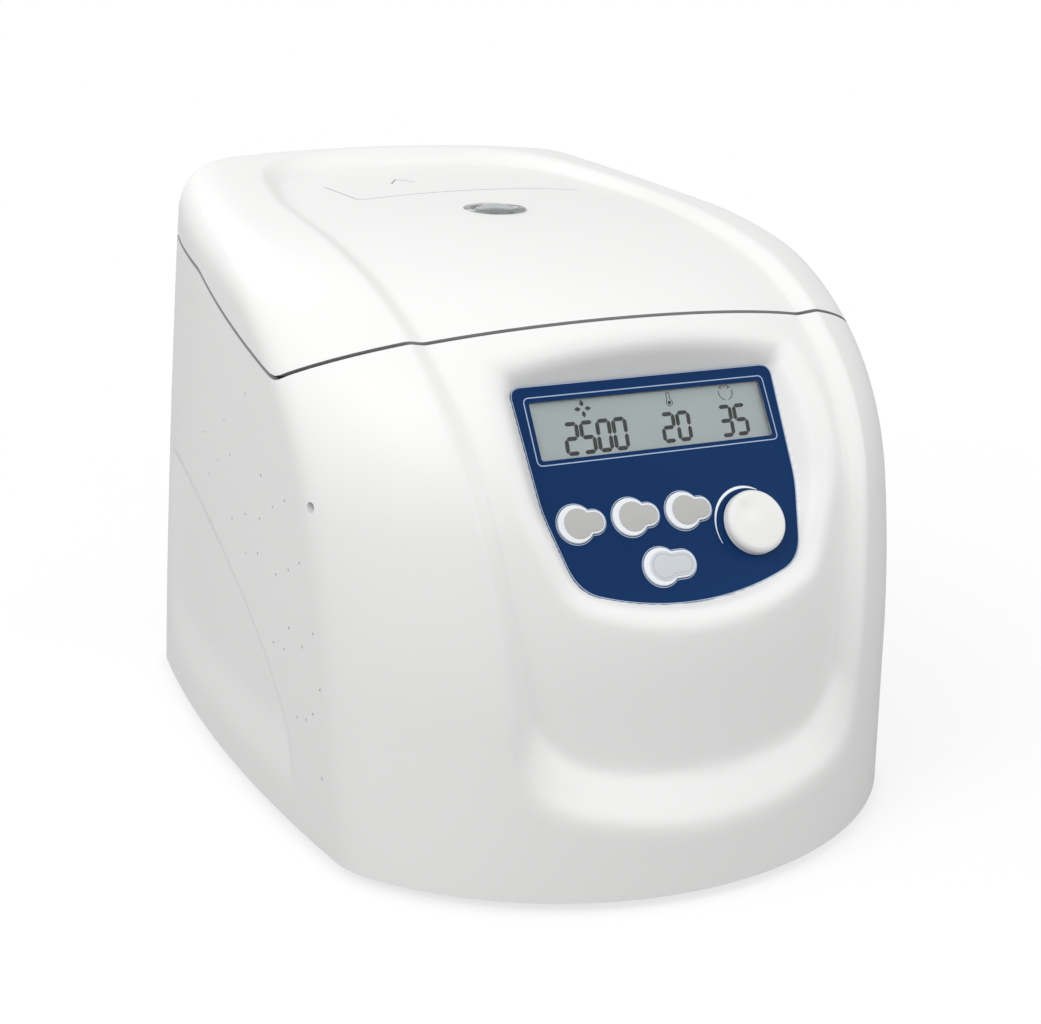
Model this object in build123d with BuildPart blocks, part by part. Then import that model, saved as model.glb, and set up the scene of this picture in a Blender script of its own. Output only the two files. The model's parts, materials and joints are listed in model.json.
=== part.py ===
from build123d import *
import os
from math import cos, radians, sin, sqrt

# Bench microcentrifuge with a hinged lid. Millimetres, +Z up, front towards -Y, feet on z = 0.

# Overall form of the outer casing
SKIRT_Z = 4.0
FRONT_Y = -182.0
REAR_Y = 182.0
WALL = 3.0
GAP = 0.3
NOSE_MARGIN = 7.0
NOSE_HALF_TURN = 73.0
NOSE_STATIONS = 9
SIDE_RADIUS = 1018.0
LOW_Z = 4.0
LOW_HALF_WIDTH = 140.0
NOSE_RADIUS = LOW_HALF_WIDTH + NOSE_MARGIN
LOW_WIDEST_Y = 54.0
HIGH_Z = 213.0
HIGH_HALF_WIDTH = 134.0
HIGH_WIDEST_Y = -27.7
REAR_CORNER = 30.0
SHOULDER_FILLET = 22.0
LOFT_TOP_Z = 290.0
BELOW = -20.0

# Centre-line profiles of nose and top: height where the nose starts to lean, then radius and turn of each arc
SHOULDER_START_Z = 72.0
SHOULDER_ARCS = ((400.0, 10.0), (100.0, 38.0), (150.0, 27.0), (450.0, 8.0))
RECESS_DEPTH = 9.7
RECESS_START_Z = 85.0
RECESS_ARCS = ((335.0, 10.0), (90.0, 38.0), (150.0, 28.0), (600.0, 8.5))
CROWN_RUN = 300.0

# Front recess outline, seen from the front and from above
RECESS_SILL_Z = 41.0
RECESS_SILL_RISE = 11.0
RECESS_HALF_WIDTH = 69.0
RECESS_FLARE = 0.121
RECESS_SILL_CORNER = 26.0
RECESS_REAR_Y = 147.0
RECESS_REAR_CORNER = 40.0
RECESS_TOP_HALF_WIDTH = 91.5
RECESS_RIM_FILLET = 2.0

# Parting between housing and lid, in the side view
PARTING_CORNER_Y = -61.0
PARTING_CORNER_Z = 193.4
PARTING_FRONT_SLOPE = 0.47
PARTING_BEND_Y = 62.0
PARTING_BEND_Z = 220.7
PARTING_REAR_SLOPE = 0.066
PARTING_CORNER_RADIUS = 8.0
PARTING_BEND_RADIUS = 120.0
PARTING_GAP = 1.2

# Lid hinge
HINGE_Y = 174.5
HINGE_Z = 230.0
HINGE_X = 62.0
HINGE_PIN_RADIUS = 2.0
HINGE_KNUCKLE_RADIUS = 4.0
HINGE_KNUCKLE_WIDTH = 16.0
HINGE_CHEEK = 4.0
HINGE_ARM_HEIGHT = 12.0
HINGE_RUNNING = 0.05
REAR_NOTCH_Y = 170.0
REAR_NOTCH_Z = 223.0
HINGE_BASE_FRONT_Y = 160.0
HINGE_BASE_REAR_Y = 172.5

# Rotor chamber
AXIS_Y = 27.0
DECK_TOP_Z = 189.0
DECK_THICKNESS = 3.0
DECK_SLOPE_START_Y = -72.0
BOWL_RADIUS = 88.0
BOWL_WALL = 1.5
BOWL_FLOOR_Z = 112.0
BOWL_FLANGE = 6.5
BOWL_CORNER = 12.0
BOWL_HOLE_RADIUS = 17.0

# Drive
FOOT_RADIUS = 11.0
PAN_THICKNESS = 2.5
PAN_RIM = 12.0
PAN_BOSS_TOP_Z = 12.0
DAMPER_RADIUS = 9.0
DAMPER_HEIGHT = 14.0
DAMPER_CIRCLE = 50.0
MOUNT_RADIUS = 62.0
MOUNT_THICKNESS = 4.0
MOTOR_RADIUS = 42.0
MOTOR_HEIGHT = 70.0
MOTOR_WALL = 2.5
MOTOR_NECK_RADIUS = 15.0
MOTOR_NECK_TOP_Z = 116.0
BEARING_RADIUS = 11.0
BEARING_WIDTH = 7.0
SHAFT_RADIUS = 5.0
SHAFT_RUNNING = 0.05
SHAFT_TOP_Z = 150.0
MAGNET_RADIUS = 20.0
STATOR_GAP = 0.8

# Rotor
TUBE_COUNT = 24
TUBE_HOLE_RADIUS = 5.6
TUBE_HOLE_DEPTH = 36.0
TUBE_ANGLE = 45.0
TUBE_MOUTH_RADIUS = 50.0
TUBE_MOUTH_Z = 165.0
ROTOR_RADIUS = 82.0
ROTOR_BOTTOM_Z = 130.0
ROTOR_HUB_BOTTOM_Z = 122.0
ROTOR_RIM_Z = 175.0
ROTOR_RIM_RADIUS = 64.0
ROTOR_HUB_RADIUS = 16.0
ROTOR_HUB_TOP_Z = 168.0
ROTOR_LID_THICKNESS = 2.5
ROTOR_LID_RADIUS = 66.0
ROTOR_KNOB_RADIUS = 15.0
ROTOR_KNOB_HEIGHT = 12.5
ROTOR_STUD_RADIUS = 4.0

# Control panel, on its own tilted plane
PANEL_TILT = 30.8
PANEL_Y = -116.2
PANEL_Z = 188.7
OVERLAY_THICKNESS = 0.8
OVERLAY_MARGIN = 1.2
POCKET_TAPER = 27.0
POCKET_REACH = 45.0
DISPLAY_WIDTH = 104.0
DISPLAY_HEIGHT = 24.6
DISPLAY_TOP = -1.5
BOARD_DEPTH = 14.4
BOARD_THICKNESS = 1.6
KEY_RADIUS = 7.5
KEY_TRAVEL = 1.2
KEY_PROUD = 0.9
KEY_PLACES = {
    "key_program": (-43.7, -51.2, 12.2, 4.6),
    "key_lid": (-20.5, -51.2, 12.2, 4.6),
    "key_select": (2.6, -51.4, 12.2, 4.6),
    "key_start": (-12.5, -71.9, 14.8, 5.4),
}
DIAL_X = 31.5
DIAL_DOWN = -60.2
DIAL_RADIUS = 13.3
DIAL_HEIGHT = 5.6
DIAL_SHAFT_RADIUS = 3.0

# Rear wall fittings
INLET_X = -62.0
INLET_Z = 44.0
ROCKER_X = -18.0
ROCKER_Z = 44.0
FAN_X = 50.0
FAN_Z = 66.0
FAN_SIZE = 80.0
FAN_DEPTH = 25.0
FAN_BORE = 37.5
FAN_BLADES = 7

# Sight window in the lid
WINDOW_Y = 26.6
WINDOW_RADIUS = 11.0
WINDOW_BEZEL_RADIUS = 14.5

# Emergency release hole in the left wall
RELEASE_Y = -93.0
RELEASE_Z = 149.1
RELEASE_RADIUS = 2.2


def side_x(z, y, inset):
    """Half width of the casing at a height and depth, measured to a surface that lies inset inside it."""
    rise = (z - LOW_Z) / (HIGH_Z - LOW_Z)
    widest = LOW_HALF_WIDTH + rise * (HIGH_HALF_WIDTH - LOW_HALF_WIDTH) - inset
    widest_y = LOW_WIDEST_Y + rise * (HIGH_WIDEST_Y - LOW_WIDEST_Y)
    radius = SIDE_RADIUS - inset
    return widest - radius + sqrt(radius**2 - (y - widest_y) ** 2)


def crown(front_y, start_z, arcs, inset):
    """Everything behind and below a nose-and-top surface: one side profile carried along the nose arc."""
    with BuildPart() as crown_part:
        for station in range(NOSE_STATIONS):
            turn = radians(NOSE_HALF_TURN * (2 * station / (NOSE_STATIONS - 1) - 1))
            place = Plane(
                origin=(NOSE_RADIUS * sin(turn), NOSE_RADIUS * (1 - cos(turn)), 0),
                x_dir=(0, 1, 0),
                z_dir=(1, 0, 0),
            )
            with BuildSketch(place):
                with BuildLine():
                    edge = Line((front_y + inset, BELOW), (front_y + inset, start_z))
                    for radius, angle in arcs:
                        edge = JernArc(edge @ 1, edge % 1, radius - inset, -angle)
                    top = Line(edge @ 1, (edge @ 1) + (edge % 1) * CROWN_RUN)
                    Polyline(top @ 1, ((top @ 1).X, BELOW), (front_y + inset, BELOW))
                make_face()
        loft()
    return crown_part.part


def side_walls(inset):
    """The casing between its two bowed sides and its flat rear, without nose and top."""
    far_front = FRONT_Y - 50
    rear = REAR_Y - inset
    with BuildPart() as walls:
        for height in (SKIRT_Z, LOFT_TOP_Z):
            with BuildSketch(Plane.XY.offset(height)) as plan:
                with BuildLine():
                    right = ThreePointArc(*[(side_x(height, y, inset), y) for y in (far_front, 0, rear)])
                    Line(right @ 1, (-(right @ 1).X, rear))
                    left = ThreePointArc(*[(-side_x(height, y, inset), y) for y in (rear, 0, far_front)])
                    Line(left @ 1, right @ 0)
                make_face()
                fillet(plan.vertices().group_by(Axis.Y)[-1], REAR_CORNER - inset)
        loft(ruled=True)
    return walls.part


def is_shoulder(edge):
    """True for the edges where nose and top meet the side and rear walls."""
    start, end, middle = edge.position_at(0), edge.position_at(1), edge.position_at(0.5)
    on_skirt = abs(start.Z - SKIRT_Z) < 0.1 and abs(end.Z - SKIRT_Z) < 0.1
    crosses = abs(start.X + end.X) < 1 and middle.Y < HINGE_Y
    upright_corner = min(start.Z, end.Z) < SKIRT_Z + 0.1 and middle.Y > 0
    return not (on_skirt or crosses or upright_corner)


def casing_form(inset):
    """The casing without its recess, drawn inset inside the outer surface, with soft shoulders."""
    with BuildPart() as form:
        add(side_walls(inset))
        add(crown(FRONT_Y, SHOULDER_START_Z, SHOULDER_ARCS, inset), mode=Mode.INTERSECT)
        fillet(form.edges().filter_by(is_shoulder), SHOULDER_FILLET - inset)
    return form.part


def recess_tool(growth):
    """What the long recess takes away, from its sill on the nose to its end on the lid."""
    reach_x = RECESS_TOP_HALF_WIDTH
    with BuildPart() as tool:
        with BuildSketch(Plane.XZ) as front_view:
            with BuildLine():
                sill_end_z = RECESS_SILL_Z + RECESS_SILL_RISE
                flare_top_x = RECESS_HALF_WIDTH + RECESS_FLARE * (LOFT_TOP_Z - sill_end_z)
                sill = ThreePointArc(
                    (-RECESS_HALF_WIDTH, sill_end_z), (0, RECESS_SILL_Z), (RECESS_HALF_WIDTH, sill_end_z)
                )
                Polyline(sill @ 1, (flare_top_x, LOFT_TOP_Z), (-flare_top_x, LOFT_TOP_Z), sill @ 0)
            make_face()
            fillet(front_view.vertices().group_by(Axis.Y)[0], RECESS_SILL_CORNER)
            if growth:
                offset(amount=growth)
        extrude(amount=-2 * FRONT_Y, both=True)
        with BuildSketch(Plane.XY.offset(BELOW)) as top_view:
            with BuildLine():
                Polyline((reach_x + 7, FRONT_Y - 20), (reach_x, -5))
                right = ThreePointArc((reach_x, -5), (reach_x - 2.5, 60), (reach_x - 11.5, 110))
                Line(right @ 1, (reach_x - 21.5, RECESS_REAR_Y - 3))
                ThreePointArc(
                    (reach_x - 21.5, RECESS_REAR_Y - 3), (0, RECESS_REAR_Y), (21.5 - reach_x, RECESS_REAR_Y - 3)
                )
                Line((21.5 - reach_x, RECESS_REAR_Y - 3), (11.5 - reach_x, 110))
                ThreePointArc((11.5 - reach_x, 110), (2.5 - reach_x, 60), (-reach_x, -5))
                Polyline((-reach_x, -5), (-reach_x - 7, FRONT_Y - 20), (reach_x + 7, FRONT_Y - 20))
            make_face()
            fillet(top_view.vertices().group_by(Axis.Y)[-1], RECESS_REAR_CORNER)
            if growth:
                offset(amount=growth)
        extrude(amount=2 * LOFT_TOP_Z, mode=Mode.INTERSECT)
        floor = crown(FRONT_Y + RECESS_DEPTH, RECESS_START_Z, RECESS_ARCS, growth)
        add(floor, mode=Mode.SUBTRACT)
    return tool.part


def panel_plane(lift=0.0):
    """The tilted plane of the control panel's face, lifted outwards by a distance."""
    tilt = radians(PANEL_TILT)
    face = Plane(origin=(0, PANEL_Y, PANEL_Z), x_dir=(1, 0, 0), z_dir=(0, -cos(tilt), sin(tilt)))
    return face.offset(lift)


def panel_outline(growth):
    """The overlay's outline: near square at the top, wide and round at the bottom."""
    with BuildSketch() as outline:
        with BuildLine():
            bottom = ThreePointArc((-49, -76.5), (0, -87), (49, -76.5))
            Polyline(bottom @ 1, (56.2, -45), (58.3, 4.4), (-58.3, 4.4), (-56.2, -45), bottom @ 0)
        make_face()
        fillet(outline.vertices().filter_by(lambda v: abs(v.Y + 76.5) < 1), 16)
        fillet(outline.vertices().filter_by(lambda v: abs(v.Y + 45) < 1), 60)
        fillet(outline.vertices().group_by(Axis.Y)[-1], 4)
        if growth:
            offset(amount=growth)
    return outline.sketch


def pocket_tool(growth):
    """The second, tilted pocket in which the control panel lies."""
    with BuildPart() as tool:
        with BuildSketch(panel_plane(-OVERLAY_THICKNESS - growth)):
            add(panel_outline(OVERLAY_MARGIN + growth))
        extrude(amount=POCKET_REACH, taper=-POCKET_TAPER)
    return tool.part


def lid_region(lower):
    """Everything above the parting, moved down by a distance."""
    with BuildPart() as region:
        with BuildSketch(Plane.YZ) as side_view:
            far_y = REAR_Y + 60
            rear_z = PARTING_BEND_Z + PARTING_REAR_SLOPE * (far_y - PARTING_BEND_Y)
            front_z = PARTING_CORNER_Z + PARTING_FRONT_SLOPE * (PARTING_CORNER_Y - FRONT_Y + 40)
            with BuildLine():
                Polyline(
                    (far_y, rear_z),
                    (PARTING_BEND_Y, PARTING_BEND_Z),
                    (PARTING_CORNER_Y, PARTING_CORNER_Z),
                    (FRONT_Y - 40, front_z),
                    (FRONT_Y - 40, LOFT_TOP_Z + 60),
                    (far_y, LOFT_TOP_Z + 60),
                    close=True,
                )
            make_face()
            fillet(side_view.vertices().group_by(Axis.Y)[0], PARTING_CORNER_RADIUS)
            bend = side_view.vertices().sort_by_distance((PARTING_BEND_Y, PARTING_BEND_Z))[0]
            fillet(bend, PARTING_BEND_RADIUS)
            if lower:
                offset(amount=lower, kind=Kind.INTERSECTION)
        extrude(amount=2 * LOW_HALF_WIDTH, both=True)
    return region.part


def cavity(inset):
    """The room inside the casing, drawn inset inside its outer surfaces, recess and pocket included."""
    with BuildPart() as room:
        add(casing_form(inset))
        add(recess_tool(inset), mode=Mode.SUBTRACT)
        add(pocket_tool(inset), mode=Mode.SUBTRACT)
    return room.part


def deck_top(y):
    """Height of the deck's upper face: flat round the chamber, rising under the front of the lid."""
    return DECK_TOP_Z + PARTING_FRONT_SLOPE * max(0.0, DECK_SLOPE_START_Y - y)


def disc(name_plane, radius, height):
    """A plain round solid standing on a plane."""
    with BuildPart() as solid:
        with BuildSketch(name_plane):
            Circle(radius)
        extrude(amount=height)
    return solid.part


def ring(plane, outer, inner, height):
    """A flat ring standing on a plane."""
    with BuildPart() as solid:
        with BuildSketch(plane):
            Circle(outer)
            Circle(inner, mode=Mode.SUBTRACT)
        extrude(amount=height)
    return solid.part


def slab(low_z, high_z):
    """A wide flat block used to pick a level out of the casing's room."""
    with BuildPart() as solid:
        with BuildSketch(Plane.XY.offset(low_z)):
            Rectangle(4 * LOW_HALF_WIDTH, 4 * LOW_HALF_WIDTH)
        extrude(amount=high_z - low_z)
    return solid.part


def level(z):
    """A horizontal plane centred on the rotor's axis."""
    return Plane.XY.offset(z).shift_origin((0, AXIS_Y, z))


def finish(piece, label):
    """Names a finished piece and writes it as one STEP file."""
    piece.label = label
    export_step(piece, "parts/" + label + ".step")


os.makedirs("parts", exist_ok=True)

# Casing shell: outer form less recess and pocket, hollowed by the same forms one wall further in
recess = recess_tool(0.0)
inner_room = cavity(WALL)
fit_room = cavity(WALL + GAP)
recess_floor = crown(FRONT_Y + RECESS_DEPTH, RECESS_START_Z, RECESS_ARCS, 0.0)


def clear_of_floor(edge):
    """True for the upper edges of the recess walls, which stand off the recess floor."""
    points = [edge.position_at(place) for place in (0, 0.5, 1)]
    return all(Vertex(*point).distance_to(recess_floor) > 0.02 for point in points)


with BuildPart() as casing:
    add(casing_form(0.0))
    add(recess, mode=Mode.SUBTRACT)
    fillet(casing.edges(Select.LAST).filter_by(clear_of_floor), RECESS_RIM_FILLET)
    add(pocket_tool(0.0), mode=Mode.SUBTRACT)
    add(inner_room, mode=Mode.SUBTRACT)

lid_space = lid_region(0.0)
housing_limit = lid_region(PARTING_GAP)

# Housing: the shell below the parting, with its cut-outs and the pillars that the base screws into
PILLAR_X = LOW_HALF_WIDTH - 28.0
PILLARS = ((-PILLAR_X, -70.0), (PILLAR_X, -70.0), (-PILLAR_X, 128.0), (PILLAR_X, 128.0))
PILLAR_RADIUS = 5.0
PILLAR_TOP_Z = 46.0
SCREW_RADIUS = 1.5
INLET_WIDTH = 27.6
INLET_HEIGHT = 32.4
ROCKER_WIDTH = 20.0
ROCKER_HEIGHT = 28.0
GUARD_RADIUS = 38.5
KEY_HOLE_GAP = 0.3


def key_outline(place, growth):
    """A round key with a lobe to its right, on the panel plane."""
    x, down, reach, lobe = place
    with BuildSketch() as outline:
        with Locations((x, down)):
            Circle(KEY_RADIUS)
        with Locations((x + reach - lobe - 2.5, down)):
            SlotOverall(2 * lobe + 5, 2 * lobe)
        if growth:
            offset(amount=growth)
    return outline.sketch


def rear_plane(y):
    """A plane that faces the rear, with its first axis to the left as seen from behind."""
    return Plane(origin=(0, y, 0), x_dir=(-1, 0, 0), z_dir=(0, 1, 0))


def drill(plane, places, radius, depth):
    """A set of round holes through the part that is being built."""
    with BuildSketch(plane) as holes:
        with Locations(*places):
            Circle(radius)
    extrude(holes.sketch, amount=depth, mode=Mode.SUBTRACT)


with BuildPart() as pillars:
    with BuildSketch(Plane.XY.offset(SKIRT_Z + PAN_THICKNESS + GAP)):
        with Locations(*PILLARS):
            Circle(PILLAR_RADIUS)
    extrude(amount=PILLAR_TOP_Z - SKIRT_Z - PAN_THICKNESS - GAP)
    with BuildSketch(Plane.XY.offset(SKIRT_Z + PAN_RIM + 2)):
        for x, y in PILLARS:
            with Locations((x * 1.12, y)):
                Rectangle(28, 4)
    extrude(amount=PILLAR_TOP_Z - SKIRT_Z - PAN_RIM - 2)
    add(casing_form(WALL / 2), mode=Mode.INTERSECT)
    drill(Plane.XY.offset(SKIRT_Z), PILLARS, SCREW_RADIUS + 0.05, 20)

with BuildPart() as housing:
    add(casing.part)
    add(housing_limit, mode=Mode.SUBTRACT)
    with BuildSketch(Plane.XY.offset(REAR_NOTCH_Z)):
        with Locations((0, REAR_NOTCH_Y + 20)):
            Rectangle(2 * LOW_HALF_WIDTH, 40)
    extrude(amount=20, mode=Mode.SUBTRACT)
    with BuildSketch(rear_plane(REAR_Y + 1)):
        with Locations((-INLET_X, INLET_Z)):
            Rectangle(INLET_WIDTH, INLET_HEIGHT)
        with Locations((-ROCKER_X, ROCKER_Z)):
            Rectangle(ROCKER_WIDTH, ROCKER_HEIGHT)
        with Locations((-FAN_X, FAN_Z)):
            Circle(GUARD_RADIUS)
    extrude(amount=-WALL - 2, mode=Mode.SUBTRACT)
    with BuildSketch(Plane.YZ.offset(-LOW_HALF_WIDTH - 5)):
        with Locations((RELEASE_Y, RELEASE_Z)):
            Circle(RELEASE_RADIUS)
    extrude(amount=20, mode=Mode.SUBTRACT)
    with BuildSketch(panel_plane(1.0)):
        with Locations((0, DISPLAY_TOP - DISPLAY_HEIGHT / 2)):
            Rectangle(DISPLAY_WIDTH, DISPLAY_HEIGHT)
        for place in KEY_PLACES.values():
            add(key_outline(place, KEY_HOLE_GAP))
        with Locations((DIAL_X, DIAL_DOWN)):
            Circle(DIAL_SHAFT_RADIUS + 2)
    extrude(amount=-WALL - 4, mode=Mode.SUBTRACT)
    add(pillars.part)
finish(housing.part, "housing")

# Base pan with a raised rim, three bosses for the dampers, and four rubber feet
FEET = {
    "foot_front_left": (52.0 - LOW_HALF_WIDTH, -98.0),
    "foot_front_right": (LOW_HALF_WIDTH - 52.0, -98.0),
    "foot_rear_left": (36.0 - LOW_HALF_WIDTH, 150.0),
    "foot_rear_right": (LOW_HALF_WIDTH - 36.0, 150.0),
}
pan_floor_z = SKIRT_Z + PAN_THICKNESS
damper_places = [
    (DAMPER_CIRCLE * sin(radians(120 * k)), AXIS_Y - DAMPER_CIRCLE * cos(radians(120 * k))) for k in range(3)
]

with BuildPart() as base_pan:
    add(casing_form(WALL + GAP))
    add(slab(SKIRT_Z, SKIRT_Z + PAN_RIM), mode=Mode.INTERSECT)
    with BuildPart(mode=Mode.PRIVATE) as pan_room:
        add(casing_form(WALL + GAP + 2))
        add(slab(pan_floor_z, SKIRT_Z + PAN_RIM + 5), mode=Mode.INTERSECT)
    add(pan_room.part, mode=Mode.SUBTRACT)
    with BuildSketch(Plane.XY.offset(pan_floor_z)):
        with Locations(*damper_places):
            Circle(DAMPER_RADIUS + 1)
    extrude(amount=PAN_BOSS_TOP_Z - pan_floor_z)
    drill(Plane.XY.offset(SKIRT_Z - 1), PILLARS, SCREW_RADIUS + 0.2, PAN_THICKNESS + 2)
    with BuildSketch(Plane.XY.offset(SKIRT_Z - 1)):
        with Locations((0, -60), (0, 130)):
            with GridLocations(0, 7, 1, 7):
                SlotOverall(70, 3)
    extrude(amount=PAN_THICKNESS + 2, mode=Mode.SUBTRACT)
finish(base_pan.part, "base_pan")

for name, (x, y) in FEET.items():
    with BuildPart() as foot:
        with BuildSketch(Plane.XY.shift_origin((x, y, 0))):
            Circle(FOOT_RADIUS)
        extrude(amount=SKIRT_Z)
        fillet(foot.faces().sort_by(Axis.Z)[0].edges(), 1)
    finish(foot.part, name)

SCREW_HEAD = 3.2
with BuildPart() as base_screws:
    with BuildSketch(Plane.XY.offset(SKIRT_Z - 1.6)):
        with Locations(*PILLARS):
            Circle(SCREW_HEAD)
    extrude(amount=1.6)
    with BuildSketch(Plane.XY.offset(SKIRT_Z)):
        with Locations(*PILLARS):
            Circle(SCREW_RADIUS)
    extrude(amount=18)
finish(base_screws.part, "base_screws")

# Deck round the chamber: flat at the bowl, rising under the front of the lid
HOOK_Y = -88.0
SLOT_WIDTH = 14.0
SLOT_DEPTH = 9.0
deck_front = FRONT_Y - 10
with BuildPart() as chamber_deck:
    with BuildSketch(Plane.YZ):
        with BuildLine():
            Polyline(
                (REAR_Y, DECK_TOP_Z),
                (DECK_SLOPE_START_Y, DECK_TOP_Z),
                (deck_front, deck_top(deck_front)),
                (deck_front, deck_top(deck_front) - DECK_THICKNESS),
                (DECK_SLOPE_START_Y, DECK_TOP_Z - DECK_THICKNESS),
                (REAR_Y, DECK_TOP_Z - DECK_THICKNESS),
                close=True,
            )
        make_face()
    extrude(amount=2 * LOW_HALF_WIDTH, both=True)
    add(fit_room, mode=Mode.INTERSECT)
    with BuildSketch(level(DECK_TOP_Z - 10)):
        Circle(BOWL_RADIUS + BOWL_WALL + GAP)
    extrude(amount=20, mode=Mode.SUBTRACT)
    with BuildSketch(Plane.XY.offset(DECK_TOP_Z - 20)):
        with Locations((0, HOOK_Y)):
            Rectangle(SLOT_WIDTH, SLOT_DEPTH)
    extrude(amount=60, mode=Mode.SUBTRACT)
finish(chamber_deck.part, "chamber_deck")

# Rotor bowl: a deep drawn cup hung from its flange on the deck
with BuildPart() as rotor_bowl:
    with BuildSketch(Plane.XZ.offset(-AXIS_Y)) as section:
        with BuildLine():
            Polyline(
                (BOWL_HOLE_RADIUS, BOWL_FLOOR_Z),
                (BOWL_RADIUS, BOWL_FLOOR_Z),
                (BOWL_RADIUS, DECK_TOP_Z + BOWL_WALL),
                (BOWL_RADIUS + BOWL_WALL + BOWL_FLANGE, DECK_TOP_Z + BOWL_WALL),
                (BOWL_RADIUS + BOWL_WALL + BOWL_FLANGE, DECK_TOP_Z),
                (BOWL_RADIUS + BOWL_WALL, DECK_TOP_Z),
                (BOWL_RADIUS + BOWL_WALL, BOWL_FLOOR_Z - BOWL_WALL),
                (BOWL_HOLE_RADIUS, BOWL_FLOOR_Z - BOWL_WALL),
                close=True,
            )
        make_face()
        fillet(section.vertices().sort_by_distance((BOWL_RADIUS, BOWL_FLOOR_Z))[0], BOWL_CORNER)
        outer_corner = (BOWL_RADIUS + BOWL_WALL, BOWL_FLOOR_Z - BOWL_WALL)
        fillet(section.vertices().sort_by_distance(outer_corner)[0], BOWL_CORNER + BOWL_WALL)
    revolve(axis=Axis((0, AXIS_Y, 0), (0, 0, 1)))
finish(rotor_bowl.part, "rotor_bowl")

# Drive: mount plate on three rubber dampers, closed motor can, stator, bearings and shaft
mount_z = PAN_BOSS_TOP_Z + DAMPER_HEIGHT
motor_z = mount_z + MOUNT_THICKNESS
motor_top_z = motor_z + MOTOR_HEIGHT

for index, (x, y) in enumerate(damper_places):
    with BuildPart() as damper:
        with BuildSketch(Plane.XY.offset(PAN_BOSS_TOP_Z).shift_origin((x, y, PAN_BOSS_TOP_Z))):
            Circle(DAMPER_RADIUS)
        extrude(amount=DAMPER_HEIGHT)
        with BuildSketch(Plane.XY.offset(PAN_BOSS_TOP_Z + DAMPER_HEIGHT / 2 - 2)):
            with Locations((x, y)):
                Circle(DAMPER_RADIUS)
                Circle(DAMPER_RADIUS - 2, mode=Mode.SUBTRACT)
        extrude(amount=4, mode=Mode.SUBTRACT)
    finish(damper.part, f"damper_{index + 1}")

finish(disc(level(mount_z), MOUNT_RADIUS, MOUNT_THICKNESS), "motor_mount")

with BuildPart() as motor_can:
    with BuildSketch(Plane.XZ.offset(-AXIS_Y)) as can_section:
        with BuildLine():
            Polyline(
                (0, motor_z),
                (MOTOR_RADIUS, motor_z),
                (MOTOR_RADIUS, motor_top_z),
                (MOTOR_NECK_RADIUS, motor_top_z),
                (MOTOR_NECK_RADIUS, MOTOR_NECK_TOP_Z),
                (SHAFT_RADIUS + 1, MOTOR_NECK_TOP_Z),
                (SHAFT_RADIUS + 1, motor_top_z),
                (BEARING_RADIUS, motor_top_z),
                (BEARING_RADIUS, motor_top_z - BEARING_WIDTH),
                (MOTOR_RADIUS - MOTOR_WALL, motor_top_z - BEARING_WIDTH),
                (MOTOR_RADIUS - MOTOR_WALL, motor_z + BEARING_WIDTH + MOTOR_WALL),
                (BEARING_RADIUS, motor_z + BEARING_WIDTH + MOTOR_WALL),
                (BEARING_RADIUS, motor_z + MOTOR_WALL),
                (0, motor_z + MOTOR_WALL),
                close=True,
            )
        make_face()
    revolve(axis=Axis((0, AXIS_Y, 0), (0, 0, 1)))
finish(motor_can.part, "motor_can")

bearing_bore = SHAFT_RADIUS + SHAFT_RUNNING
finish(ring(level(motor_top_z - BEARING_WIDTH), BEARING_RADIUS, bearing_bore, BEARING_WIDTH), "upper_bearing")
finish(ring(level(motor_z + MOTOR_WALL), BEARING_RADIUS, bearing_bore, BEARING_WIDTH), "lower_bearing")

stator_low_z = motor_z + MOTOR_WALL + BEARING_WIDTH + 3
stator_high_z = motor_top_z - BEARING_WIDTH - 3
STATOR_SLOTS = 12
with BuildPart() as stator:
    with BuildSketch(level(stator_low_z)):
        Circle(MOTOR_RADIUS - MOTOR_WALL)
        Circle(MAGNET_RADIUS + STATOR_GAP, mode=Mode.SUBTRACT)
        with PolarLocations((MAGNET_RADIUS + MOTOR_RADIUS) / 2 - 1, STATOR_SLOTS):
            Rectangle(11, 4, mode=Mode.SUBTRACT)
    extrude(amount=stator_high_z - stator_low_z)
finish(stator.part, "stator")

with BuildPart() as motor_shaft:
    add(disc(level(motor_z + MOTOR_WALL + 1), SHAFT_RADIUS, SHAFT_TOP_Z - motor_z - MOTOR_WALL - 1))
    add(disc(level(stator_low_z + 1), MAGNET_RADIUS, stator_high_z - stator_low_z - 2))
finish(motor_shaft.part, "motor_shaft")

with BuildPart() as bowl_collar:
    add(ring(level(BOWL_FLOOR_Z - 6), BOWL_HOLE_RADIUS - GAP, MOTOR_NECK_RADIUS + GAP, 8))
    add(ring(level(BOWL_FLOOR_Z), BOWL_HOLE_RADIUS + 5, MOTOR_NECK_RADIUS + GAP, 2))
finish(bowl_collar.part, "bowl_collar")

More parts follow.
